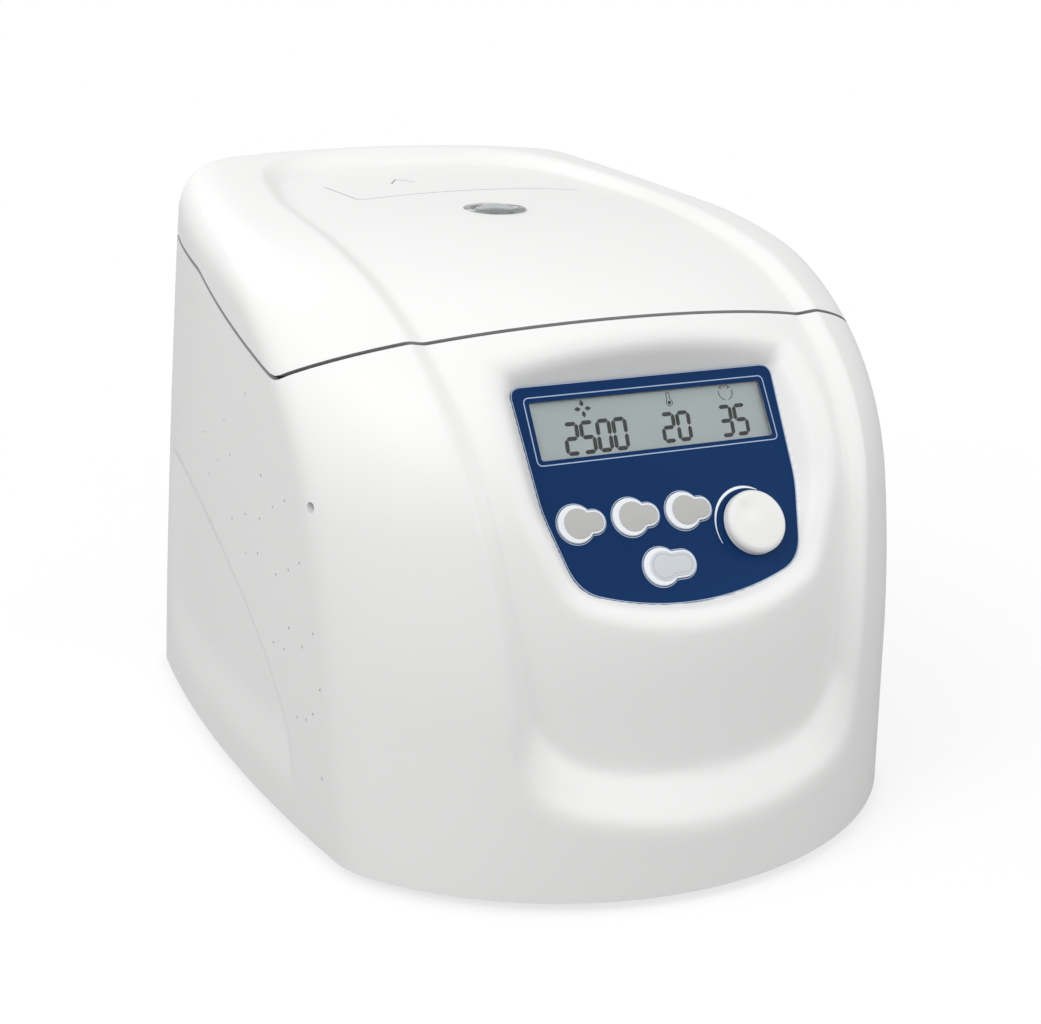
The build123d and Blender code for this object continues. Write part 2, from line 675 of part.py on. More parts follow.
# Fixed-angle rotor with slanted tube holes, its lid and the knob that holds it
tube_lean = radians(TUBE_ANGLE)
with BuildPart() as rotor:
    with BuildSketch(Plane.XZ.offset(-AXIS_Y)) as rotor_section:
        with BuildLine():
            Polyline(
                (bearing_bore, ROTOR_HUB_BOTTOM_Z),
                (ROTOR_HUB_RADIUS, ROTOR_HUB_BOTTOM_Z),
                (ROTOR_HUB_RADIUS, ROTOR_BOTTOM_Z + 4),
                (ROTOR_RADIUS - 22, ROTOR_BOTTOM_Z),
                (ROTOR_RADIUS - 8, ROTOR_BOTTOM_Z),
                (ROTOR_RADIUS, ROTOR_BOTTOM_Z + 8),
                (ROTOR_RADIUS, ROTOR_BOTTOM_Z + 16),
                (ROTOR_RIM_RADIUS, ROTOR_RIM_Z),
                (ROTOR_RIM_RADIUS - 4, ROTOR_RIM_Z),
                (TUBE_MOUTH_RADIUS - 8, TUBE_MOUTH_Z - 8),
                (ROTOR_HUB_RADIUS, TUBE_MOUTH_Z - 10),
                (ROTOR_HUB_RADIUS, ROTOR_HUB_TOP_Z),
                (ROTOR_STUD_RADIUS + 0.05, ROTOR_HUB_TOP_Z),
                (ROTOR_STUD_RADIUS + 0.05, SHAFT_TOP_Z + 1),
                (bearing_bore, SHAFT_TOP_Z + 1),
                close=True,
            )
        make_face()
    revolve(axis=Axis((0, AXIS_Y, 0), (0, 0, 1)))
    for tube in range(TUBE_COUNT):
        turn = radians(360 * (tube + 0.5) / TUBE_COUNT)
        outward = (cos(turn), sin(turn))
        mouth = Plane(
            origin=(TUBE_MOUTH_RADIUS * outward[0], AXIS_Y + TUBE_MOUTH_RADIUS * outward[1], TUBE_MOUTH_Z),
            z_dir=(cos(tube_lean) * outward[0], cos(tube_lean) * outward[1], -sin(tube_lean)),
        )
        with BuildSketch(mouth.offset(-12)):
            Circle(TUBE_HOLE_RADIUS)
        extrude(amount=TUBE_HOLE_DEPTH + 12, mode=Mode.SUBTRACT)
finish(rotor.part, "rotor")

rotor_lid_z = ROTOR_RIM_Z
with BuildPart() as rotor_lid:
    add(ring(level(rotor_lid_z), ROTOR_LID_RADIUS, ROTOR_STUD_RADIUS + GAP, ROTOR_LID_THICKNESS))
    add(ring(level(ROTOR_HUB_TOP_Z), ROTOR_HUB_RADIUS, ROTOR_STUD_RADIUS + GAP, rotor_lid_z - ROTOR_HUB_TOP_Z))
finish(rotor_lid.part, "rotor_lid")

KNOB_GRIPS = 12
knob_z = rotor_lid_z + ROTOR_LID_THICKNESS
with BuildPart() as rotor_knob:
    with BuildSketch(level(knob_z)):
        Circle(ROTOR_KNOB_RADIUS)
        with PolarLocations(ROTOR_KNOB_RADIUS + 1, KNOB_GRIPS):
            Circle(2.2, mode=Mode.SUBTRACT)
    extrude(amount=ROTOR_KNOB_HEIGHT)
    add(disc(level(SHAFT_TOP_Z + 3), ROTOR_STUD_RADIUS, knob_z - SHAFT_TOP_Z - 3))
finish(rotor_knob.part, "rotor_knob")

# Lid: shell above the parting, inner liner with a cup that meets the bowl, gasket, window, striker
LINER_LIFT = 3.0
LINER_THICKNESS = 3.0
LINER_REAR_Y = 156.0
CUP_RADIUS = 91.0
CUP_WALL = 3.0
GASKET_BOTTOM_Z = DECK_TOP_Z + BOWL_WALL + GAP
GASKET_HEIGHT = 2.5

with BuildPart() as lid_shell:
    add(casing.part)
    add(lid_space, mode=Mode.INTERSECT)
    with BuildSketch(Plane.XY.offset(DECK_TOP_Z)):
        with Locations((0, WINDOW_Y)):
            Circle(WINDOW_BEZEL_RADIUS)
    extrude(amount=90, mode=Mode.SUBTRACT)
finish(lid_shell.part, "lid_shell")

with BuildPart() as lid_liner:
    add(fit_room)
    add(lid_region(-LINER_LIFT), mode=Mode.INTERSECT)
    add(lid_region(-LINER_LIFT - LINER_THICKNESS), mode=Mode.SUBTRACT)
    with BuildSketch(Plane.XY.offset(DECK_TOP_Z)):
        with Locations((0, LINER_REAR_Y + 50)):
            Rectangle(4 * LOW_HALF_WIDTH, 100)
    extrude(amount=90, mode=Mode.SUBTRACT)
    with BuildPart(mode=Mode.PRIVATE) as cup:
        add(ring(level(GASKET_BOTTOM_Z + GASKET_HEIGHT), CUP_RADIUS, CUP_RADIUS - CUP_WALL, 60))
        add(lid_region(-LINER_LIFT - 1), mode=Mode.SUBTRACT)
    add(cup.part)
    with BuildSketch(Plane.XY.offset(DECK_TOP_Z)):
        with Locations((0, WINDOW_Y)):
            Circle(WINDOW_RADIUS)
    extrude(amount=90, mode=Mode.SUBTRACT)
finish(lid_liner.part, "lid_liner")

gasket_radius = CUP_RADIUS - CUP_WALL / 2
finish(ring(level(GASKET_BOTTOM_Z), gasket_radius + 3, gasket_radius - 3, GASKET_HEIGHT), "lid_gasket")

window_z = 240.5
with BuildPart() as sight_window:
    with BuildSketch(Plane.XY.offset(window_z).shift_origin((0, WINDOW_Y, window_z))):
        Circle(WINDOW_RADIUS)
    extrude(amount=2)
finish(sight_window.part, "sight_window")

with BuildPart() as window_bezel:
    with BuildSketch(Plane.XY.offset(window_z - 1).shift_origin((0, WINDOW_Y, window_z - 1))):
        Circle(WINDOW_BEZEL_RADIUS - 0.1)
        Circle(WINDOW_RADIUS + 0.05, mode=Mode.SUBTRACT)
    extrude(amount=5)
    with BuildSketch(Plane.XY.offset(window_z - 1).shift_origin((0, WINDOW_Y, window_z - 1))):
        Circle(WINDOW_RADIUS + 1)
        Circle(WINDOW_RADIUS - 1.2, mode=Mode.SUBTRACT)
    extrude(amount=1)
    fillet(window_bezel.edges().group_by(Axis.Z)[-1], 0.6)
finish(window_bezel.part, "window_bezel")

HOOK_WIDTH = 10.0
HOOK_THICKNESS = 3.0
HOOK_BOTTOM_Z = 176.0
HOOK_EYE_Z = 183.0
HOOK_EYE = 6.6
with BuildPart() as striker:
    with BuildSketch(Plane.XZ.offset(-HOOK_Y - HOOK_THICKNESS / 2)):
        with Locations((0, (HOOK_BOTTOM_Z + 240) / 2)):
            Rectangle(HOOK_WIDTH, 240 - HOOK_BOTTOM_Z)
        with Locations((0, HOOK_EYE_Z)):
            Rectangle(HOOK_WIDTH + 1, HOOK_EYE, mode=Mode.SUBTRACT)
        with Locations((-HOOK_WIDTH / 2 + 1, HOOK_EYE_Z), (HOOK_WIDTH / 2 - 1, HOOK_EYE_Z)):
            Rectangle(2, HOOK_EYE + 2)
    extrude(amount=HOOK_THICKNESS)
    add(lid_region(-LINER_LIFT), mode=Mode.SUBTRACT)
finish(striker.part, "striker")

# Hinge: two bases on the deck, each with two cheeks and a pin, and a knuckle arm on the lid between them
for side, x in (("left", -HINGE_X), ("right", HINGE_X)):
    outer_width = HINGE_KNUCKLE_WIDTH + 2 * GAP + 2 * HINGE_CHEEK
    with BuildPart() as hinge_base:
        with BuildSketch(Plane.YZ.offset(x - outer_width / 2)):
            with Locations(((HINGE_BASE_FRONT_Y + HINGE_BASE_REAR_Y) / 2, (DECK_TOP_Z + HINGE_Z + 2) / 2)):
                Rectangle(HINGE_BASE_REAR_Y - HINGE_BASE_FRONT_Y, HINGE_Z + 2 - DECK_TOP_Z)
            with Locations((HINGE_Y, HINGE_Z)):
                Circle(HINGE_KNUCKLE_RADIUS)
                Circle(HINGE_PIN_RADIUS + 0.02, mode=Mode.SUBTRACT)
        extrude(amount=outer_width)
        with BuildSketch(Plane.XY.offset(DECK_TOP_Z + 3)):
            with Locations((x, HINGE_Y)):
                Rectangle(HINGE_KNUCKLE_WIDTH + 2 * GAP, 60)
        extrude(amount=60, mode=Mode.SUBTRACT)
        with BuildSketch(Plane.XY.offset(DECK_TOP_Z)):
            with Locations((x, (HINGE_BASE_FRONT_Y + HINGE_BASE_REAR_Y) / 2)):
                RectangleRounded(outer_width + 20, HINGE_BASE_REAR_Y - HINGE_BASE_FRONT_Y, 3)
        extrude(amount=3)
    finish(hinge_base.part, "hinge_base_" + side)

    pin_plane = Plane(origin=(x - outer_width / 2, HINGE_Y, HINGE_Z), x_dir=(0, 1, 0), z_dir=(1, 0, 0))
    finish(disc(pin_plane, HINGE_PIN_RADIUS, outer_width), "hinge_pin_" + side)

    with BuildPart() as hinge_arm:
        with BuildSketch(Plane.YZ.offset(x - HINGE_KNUCKLE_WIDTH / 2)):
            with Locations((REAR_Y - WALL - GAP - 1.6, HINGE_Z + HINGE_ARM_HEIGHT / 2)):
                Rectangle(3.2, HINGE_ARM_HEIGHT)
            with Locations((HINGE_Y, HINGE_Z)):
                Circle(HINGE_KNUCKLE_RADIUS)
                Circle(HINGE_PIN_RADIUS + HINGE_RUNNING, mode=Mode.SUBTRACT)
        extrude(amount=HINGE_KNUCKLE_WIDTH)
    finish(hinge_arm.part, "hinge_arm_" + side)

# Lid lock: a case under the deck and a bolt that slides forward into the striker's eye
CASE_FRONT_Y = HOOK_Y - 9.0
CASE_REAR_Y = AXIS_Y - BOWL_RADIUS - BOWL_WALL - 2.0
CASE_HALF_WIDTH = 20.0
CASE_BOTTOM_Z = 166.0
BOLT = 5.0
BOLT_CLEAR = 6.0
BOLT_START_Y = HOOK_Y + HOOK_THICKNESS / 2 + BOLT_CLEAR
case_under = -DECK_THICKNESS - GAP
with BuildPart() as lock_case:
    with BuildSketch(Plane.YZ.offset(-CASE_HALF_WIDTH)):
        with BuildLine():
            Polyline(
                (CASE_FRONT_Y, CASE_BOTTOM_Z),
                (CASE_REAR_Y, CASE_BOTTOM_Z),
                (CASE_REAR_Y, DECK_TOP_Z + case_under),
                (DECK_SLOPE_START_Y, DECK_TOP_Z + case_under),
                (CASE_FRONT_Y, deck_top(CASE_FRONT_Y) + case_under),
                close=True,
            )
        make_face()
    extrude(amount=2 * CASE_HALF_WIDTH)
    with BuildSketch(Plane.XY.offset(CASE_BOTTOM_Z + 4)):
        with Locations((0, HOOK_Y)):
            Rectangle(SLOT_WIDTH, SLOT_DEPTH)
    extrude(amount=60, mode=Mode.SUBTRACT)
    with BuildSketch(Plane.XZ.offset(-HOOK_Y)):
        with Locations((0, HOOK_EYE_Z)):
            Rectangle(BOLT + 2 * GAP, BOLT + 2 * GAP)
    extrude(amount=HOOK_Y - CASE_REAR_Y - 1, mode=Mode.SUBTRACT)
finish(lock_case.part, "lock_case")

with BuildPart() as lock_bolt:
    with BuildSketch(Plane.XZ.offset(-BOLT_START_Y)):
        with Locations((0, HOOK_EYE_Z)):
            Rectangle(BOLT, BOLT)
    extrude(amount=BOLT_START_Y - CASE_REAR_Y + 1)
    chamfer(lock_bolt.faces().sort_by(Axis.Y)[0].edges(), 0.8)
finish(lock_bolt.part, "lock_bolt")

# Control panel: overlay, display, keys, dial, and the board behind the wall
with BuildPart() as panel_overlay:
    with BuildSketch(panel_plane(-OVERLAY_THICKNESS)):
        add(panel_outline(0.0))
        with Locations((0, DISPLAY_TOP - DISPLAY_HEIGHT / 2)):
            Rectangle(DISPLAY_WIDTH, DISPLAY_HEIGHT, mode=Mode.SUBTRACT)
        for place in KEY_PLACES.values():
            add(key_outline(place, KEY_HOLE_GAP), mode=Mode.SUBTRACT)
        with Locations((DIAL_X, DIAL_DOWN)):
            Circle(DIAL_SHAFT_RADIUS + 2, mode=Mode.SUBTRACT)
    extrude(amount=OVERLAY_THICKNESS)
finish(panel_overlay.part, "panel_overlay")

with BuildPart() as display_window:
    with BuildSketch(panel_plane(-1.2)):
        with Locations((0, DISPLAY_TOP - DISPLAY_HEIGHT / 2)):
            Rectangle(DISPLAY_WIDTH - 0.2, DISPLAY_HEIGHT - 0.2)
    extrude(amount=1.0)
finish(display_window.part, "display_window")

inner_face = -OVERLAY_THICKNESS - WALL
with BuildPart() as display_module:
    with BuildSketch(panel_plane(-2.4)):
        with Locations((0, DISPLAY_TOP - DISPLAY_HEIGHT / 2)):
            Rectangle(DISPLAY_WIDTH - 0.6, DISPLAY_HEIGHT - 0.6)
    extrude(amount=inner_face - GAP + 2.4)
    with BuildSketch(panel_plane(-BOARD_DEPTH)):
        with Locations((0, DISPLAY_TOP - DISPLAY_HEIGHT / 2)):
            Rectangle(DISPLAY_WIDTH + 4, DISPLAY_HEIGHT + 4)
    extrude(amount=BOARD_DEPTH + inner_face - GAP)
finish(display_module.part, "display_module")

with BuildPart() as display_board:
    with BuildSketch(panel_plane(-BOARD_DEPTH - BOARD_THICKNESS)):
        with BuildLine():
            Polyline((-54, 2), (54, 2), (54, -58), (38, -80), (-38, -80), (-54, -58), close=True)
        make_face()
    extrude(amount=BOARD_THICKNESS)
finish(display_board.part, "display_board")

STEM_RADIUS = 2.0
SWITCH_HEIGHT = 4.0
switch_top = -BOARD_DEPTH + SWITCH_HEIGHT
with BuildPart() as key_switches:
    with BuildSketch(panel_plane(-BOARD_DEPTH)):
        for x, down, reach, lobe in KEY_PLACES.values():
            with Locations((x, down)):
                Rectangle(6, 6)
    extrude(amount=SWITCH_HEIGHT - KEY_TRAVEL)
finish(key_switches.part, "key_switches")

for name, place in KEY_PLACES.items():
    with BuildPart() as key:
        with BuildSketch(panel_plane(-OVERLAY_THICKNESS - WALL + 0.4)):
            add(key_outline(place, 0.0))
        extrude(amount=OVERLAY_THICKNESS + WALL - 0.4 + KEY_PROUD)
        fillet(key.faces().sort_by(Axis((0, 0, 0), tuple(panel_plane().z_dir)))[-1].edges(), 0.4)
        with BuildSketch(panel_plane(switch_top + GAP)):
            with Locations((place[0], place[1])):
                Circle(STEM_RADIUS)
        extrude(amount=-OVERLAY_THICKNESS - WALL + 0.4 - switch_top - GAP)
    finish(key.part, name)

with BuildPart() as encoder:
    with BuildSketch(panel_plane(-BOARD_DEPTH)):
        with Locations((DIAL_X, DIAL_DOWN)):
            Rectangle(13, 13)
    extrude(amount=6.5)
    with BuildSketch(panel_plane(-BOARD_DEPTH + 6.5)):
        with Locations((DIAL_X, DIAL_DOWN)):
            Circle(DIAL_SHAFT_RADIUS + 1.5)
    extrude(amount=BOARD_DEPTH - 6.5 - 0.4)
    with BuildSketch(panel_plane(-BOARD_DEPTH + 1.5)):
        with Locations((DIAL_X, DIAL_DOWN)):
            Circle(DIAL_SHAFT_RADIUS + SHAFT_RUNNING)
    extrude(amount=BOARD_DEPTH, mode=Mode.SUBTRACT)
finish(encoder.part, "encoder")

with BuildPart() as dial:
    with BuildSketch(panel_plane(GAP)):
        with Locations((DIAL_X, DIAL_DOWN)):
            Circle(DIAL_RADIUS)
    extrude(amount=DIAL_HEIGHT)
    fillet(dial.faces().sort_by(Axis((0, 0, 0), tuple(panel_plane().z_dir)))[-1].edges(), 2.6)
    with BuildSketch(panel_plane(-BOARD_DEPTH + 2)):
        with Locations((DIAL_X, DIAL_DOWN)):
            Circle(DIAL_SHAFT_RADIUS)
    extrude(amount=BOARD_DEPTH - 2 + GAP)
finish(dial.part, "dial")

# Power board on the left of the motor, with its heat sink and capacitors
SUPPLY_WIDTH = 50.0
SUPPLY_LENGTH = 150.0
SUPPLY_X = -(LOW_HALF_WIDTH - WALL - 18 - SUPPLY_WIDTH / 2)
SUPPLY_Y = 20.0
SUPPLY_Z = 14.0
SINK_LENGTH = 70.0
with BuildPart() as power_board:
    with BuildSketch(Plane.XY.offset(SUPPLY_Z)):
        with Locations((SUPPLY_X, SUPPLY_Y)):
            Rectangle(SUPPLY_WIDTH, SUPPLY_LENGTH)
    extrude(amount=BOARD_THICKNESS)
    with BuildSketch(Plane.XY.offset(pan_floor_z)):
        with Locations((SUPPLY_X, SUPPLY_Y)):
            with GridLocations(SUPPLY_WIDTH - 8, SUPPLY_LENGTH - 8, 2, 2):
                Circle(3)
    extrude(amount=SUPPLY_Z - pan_floor_z)
finish(power_board.part, "power_board")

board_top_z = SUPPLY_Z + BOARD_THICKNESS
with BuildPart() as heat_sink:
    with BuildSketch(Plane.XY.offset(board_top_z)):
        with Locations((SUPPLY_X + 12, SUPPLY_Y + 20)):
            Rectangle(3, SINK_LENGTH)
            with GridLocations(0, (SINK_LENGTH - 4) / 6, 1, 7):
                Rectangle(16, 1.6)
    extrude(amount=36)
finish(heat_sink.part, "heat_sink")

with BuildPart() as capacitors:
    with BuildSketch(Plane.XY.offset(board_top_z)):
        with Locations((SUPPLY_X - 10, SUPPLY_Y - 40), (SUPPLY_X - 10, SUPPLY_Y - 15)):
            Circle(9)
    extrude(amount=30)
    fillet(capacitors.edges().group_by(Axis.Z)[-1], 1)
finish(capacitors.part, "capacitors")

# Rear wall: power inlet with its fuse drawer, rocker switch, and the cooling fan behind its guard
SOCKET_WIDTH = 24.4
SOCKET_HEIGHT = 16.8
SOCKET_DEPTH = 16.0
DRAWER_WIDTH = 22.0
DRAWER_HEIGHT = 8.0
DRAWER_DEPTH = 15.0
SOCKET_Z = INLET_Z + 5.6
DRAWER_Z = INLET_Z - 10.2
with BuildPart() as power_inlet:
    with BuildSketch(rear_plane(REAR_Y)):
        with Locations((-INLET_X, INLET_Z)):
            Rectangle(INLET_WIDTH - 0.2, INLET_HEIGHT - 0.2)
    extrude(amount=-22)
    with BuildSketch(rear_plane(REAR_Y)):
        with Locations((-INLET_X, SOCKET_Z)):
            Rectangle(SOCKET_WIDTH, SOCKET_HEIGHT)
    extrude(amount=-SOCKET_DEPTH, mode=Mode.SUBTRACT)
    with BuildSketch(rear_plane(REAR_Y)):
        with Locations((-INLET_X, DRAWER_Z)):
            Rectangle(DRAWER_WIDTH + 2 * GAP, DRAWER_HEIGHT + 2 * GAP)
    extrude(amount=-DRAWER_DEPTH - GAP, mode=Mode.SUBTRACT)
    with BuildSketch(rear_plane(REAR_Y - SOCKET_DEPTH)):
        with Locations((-INLET_X - 7, SOCKET_Z - 2), (-INLET_X + 7, SOCKET_Z - 2), (-INLET_X, SOCKET_Z + 4.4)):
            Rectangle(2, 4)
    extrude(amount=SOCKET_DEPTH - 3)
finish(power_inlet.part, "power_inlet")

with BuildPart() as fuse_drawer:
    with BuildSketch(rear_plane(REAR_Y)):
        with Locations((-INLET_X, DRAWER_Z)):
            Rectangle(DRAWER_WIDTH, DRAWER_HEIGHT)
    extrude(amount=-DRAWER_DEPTH)
finish(fuse_drawer.part, "fuse_drawer")

ROCKER_PIVOT_Y = REAR_Y - 6.0
ROCKER_TILT = 9.0
ROCKER_BODY = 13.0
with BuildPart() as rocker_frame:
    with BuildSketch(rear_plane(REAR_Y)):
        with Locations((-ROCKER_X, ROCKER_Z)):
            Rectangle(ROCKER_WIDTH - 0.2, ROCKER_HEIGHT - 0.2)
    extrude(amount=-20)
    with BuildSketch(rear_plane(REAR_Y)):
        with Locations((-ROCKER_X, ROCKER_Z)):
            Rectangle(ROCKER_BODY + 2 * GAP, 24.6)
    extrude(amount=-12, mode=Mode.SUBTRACT)
finish(rocker_frame.part, "rocker_frame")

with BuildSketch() as rocker_profile:
    with BuildLine():
        Polyline((-3.4, -11.6), (3.4, -11.6), (2.6, 0), (3.4, 11.6), (-3.4, 11.6), close=True)
    make_face()
rocker_origin = (ROCKER_X - ROCKER_BODY / 2, ROCKER_PIVOT_Y, ROCKER_Z)
rocker_plane = Plane(origin=rocker_origin, x_dir=(0, 1, 0), z_dir=(1, 0, 0))
with BuildPart() as rocker:
    with BuildSketch(rocker_plane):
        add(rocker_profile.sketch, rotation=-ROCKER_TILT)
    extrude(amount=ROCKER_BODY)
finish(rocker.part, "rocker")

fan_rear = rear_plane(REAR_Y - WALL - GAP)
with BuildPart() as fan_frame:
    with BuildSketch(fan_rear):
        with Locations((-FAN_X, FAN_Z)):
            RectangleRounded(FAN_SIZE, FAN_SIZE, 5)
            Circle(FAN_BORE, mode=Mode.SUBTRACT)
            with GridLocations(71.5, 71.5, 2, 2):
                Circle(2.2, mode=Mode.SUBTRACT)
    extrude(amount=-FAN_DEPTH)
    with BuildSketch(rear_plane(REAR_Y - WALL - GAP - FAN_DEPTH)):
        with Locations((-FAN_X, FAN_Z)):
            Circle(15)
            with PolarLocations(26, 4, start_angle=45):
                Rectangle(26, 3)
    extrude(amount=3)
    with BuildSketch(rear_plane(REAR_Y - WALL - GAP - FAN_DEPTH + 3)):
        with Locations((-FAN_X, FAN_Z)):
            Circle(2.5)
    extrude(amount=8)
finish(fan_frame.part, "fan_frame")

with BuildPart() as fan_rotor:
    with BuildSketch(rear_plane(REAR_Y - WALL - GAP - FAN_DEPTH + 3.6)):
        with Locations((-FAN_X, FAN_Z)):
            Circle(16)
    extrude(amount=18)
    with BuildSketch(rear_plane(REAR_Y - WALL - GAP - FAN_DEPTH + 3.6)):
        with Locations((-FAN_X, FAN_Z)):
            Circle(2.5 + SHAFT_RUNNING)
    extrude(amount=12, mode=Mode.SUBTRACT)
    for blade in range(FAN_BLADES):
        turn = radians(360 * blade / FAN_BLADES)
        root = (FAN_X + 14 * cos(turn), REAR_Y - WALL - GAP - FAN_DEPTH / 2, FAN_Z + 14 * sin(turn))
        with BuildSketch(Plane(origin=root, x_dir=(0, 1, 0), z_dir=(cos(turn), 0, sin(turn)))):
            Rectangle(19, 1.6, rotation=38)
        extrude(amount=FAN_BORE - 14 - 1.2)
finish(fan_rotor.part, "fan_rotor")

with BuildPart() as fan_guard:
    with BuildSketch(rear_plane(REAR_Y)):
        with Locations((-FAN_X, FAN_Z)):
            for outer in (GUARD_RADIUS - 0.1, 29, 20):
                Circle(outer)
                Circle(outer - 3, mode=Mode.SUBTRACT)
            Circle(11)
            with PolarLocations(23, 8):
                Rectangle(28, 2)
    extrude(amount=-2.6)
finish(fan_guard.part, "fan_guard")
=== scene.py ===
"""Looks of a bench microcentrifuge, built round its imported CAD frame.

Lengths in the classes are millimetres, as in the CAD source, and become metres when a mesh is made.
+X is right, -Y is the front and +Z is up.
"""

from __future__ import annotations

import json
import logging
import math
from collections.abc import Callable, Sequence
from dataclasses import dataclass, field
from enum import Enum

import bmesh
import bpy
import numpy as np
from mathutils import Matrix, Vector

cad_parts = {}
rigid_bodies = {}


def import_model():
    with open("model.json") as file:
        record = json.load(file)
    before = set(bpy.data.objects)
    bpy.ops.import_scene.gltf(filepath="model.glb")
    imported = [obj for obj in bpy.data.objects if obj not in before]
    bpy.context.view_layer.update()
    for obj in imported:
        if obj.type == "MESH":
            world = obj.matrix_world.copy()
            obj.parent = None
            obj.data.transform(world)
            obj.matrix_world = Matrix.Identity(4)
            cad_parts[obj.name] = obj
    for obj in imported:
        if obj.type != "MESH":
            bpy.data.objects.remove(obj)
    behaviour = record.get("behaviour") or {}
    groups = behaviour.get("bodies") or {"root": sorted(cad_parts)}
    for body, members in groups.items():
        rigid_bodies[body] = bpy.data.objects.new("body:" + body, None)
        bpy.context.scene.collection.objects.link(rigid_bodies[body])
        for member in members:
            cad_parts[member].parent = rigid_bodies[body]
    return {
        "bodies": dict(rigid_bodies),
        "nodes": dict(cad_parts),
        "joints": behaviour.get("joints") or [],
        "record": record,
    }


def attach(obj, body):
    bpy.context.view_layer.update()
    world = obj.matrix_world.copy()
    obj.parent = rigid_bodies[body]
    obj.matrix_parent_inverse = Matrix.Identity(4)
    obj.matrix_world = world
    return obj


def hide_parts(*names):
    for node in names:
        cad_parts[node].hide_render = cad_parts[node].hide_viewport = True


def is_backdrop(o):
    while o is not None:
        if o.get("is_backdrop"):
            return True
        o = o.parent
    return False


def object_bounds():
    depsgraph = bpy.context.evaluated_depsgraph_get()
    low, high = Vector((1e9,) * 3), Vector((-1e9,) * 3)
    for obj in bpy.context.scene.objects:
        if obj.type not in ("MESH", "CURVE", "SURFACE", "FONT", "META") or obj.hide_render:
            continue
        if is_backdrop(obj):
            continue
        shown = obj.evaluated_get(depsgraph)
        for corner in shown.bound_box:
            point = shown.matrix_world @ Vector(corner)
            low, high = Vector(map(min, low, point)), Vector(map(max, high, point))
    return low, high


LOG = logging.getLogger("microcentrifuge")
MM = 0.001
Outline = list[tuple[float, float]]


class Body(Enum):
    """CAD bodies that new pieces ride on."""

    CASING = "casing"
    LID = "lid"
    DIAL = "dial"
    ROCKER = "rocker"
    ROTOR = "rotor_assembly"
    KEY_PROGRAM = "key_program"
    KEY_LID = "key_lid"
    KEY_SELECT = "key_select"
    KEY_START = "key_start"


def linear(code: str) -> tuple[float, float, float, float]:
    """Turns an sRGB hex colour into linear RGBA.

    Args:
        code: The colour as "#rrggbb".

    Returns:
        Linear red, green, blue and an alpha of 1.
    """
    parts = [int(code[i : i + 2], 16) / 255 for i in (1, 3, 5)]
    red, green, blue = (c / 12.92 if c <= 0.04045 else ((c + 0.055) / 1.055) ** 2.4 for c in parts)
    return red, green, blue, 1.0


def add_node(
    tree: bpy.types.NodeTree,
    kind: str,
    settings: dict[str, object] | None = None,
    links: dict[str | int, bpy.types.NodeSocket] | None = None,
) -> bpy.types.Node:
    """Adds one shader node.

    Args:
        tree: The material's or world's node tree.
        kind: The node's type name.
        settings: Values for its inputs, by name or index, or for its own attributes.
        links: Sockets that feed its inputs, by name or index.

    Returns:
        The new node.
    """
    node = tree.nodes.new(kind)
    for name, value in (settings or {}).items():
        if isinstance(name, str) and hasattr(node, name):
            setattr(node, name, value)
        else:
            node.inputs[name].default_value = value
    for name, socket in (links or {}).items():
        tree.links.new(socket, node.inputs[name])
    return node


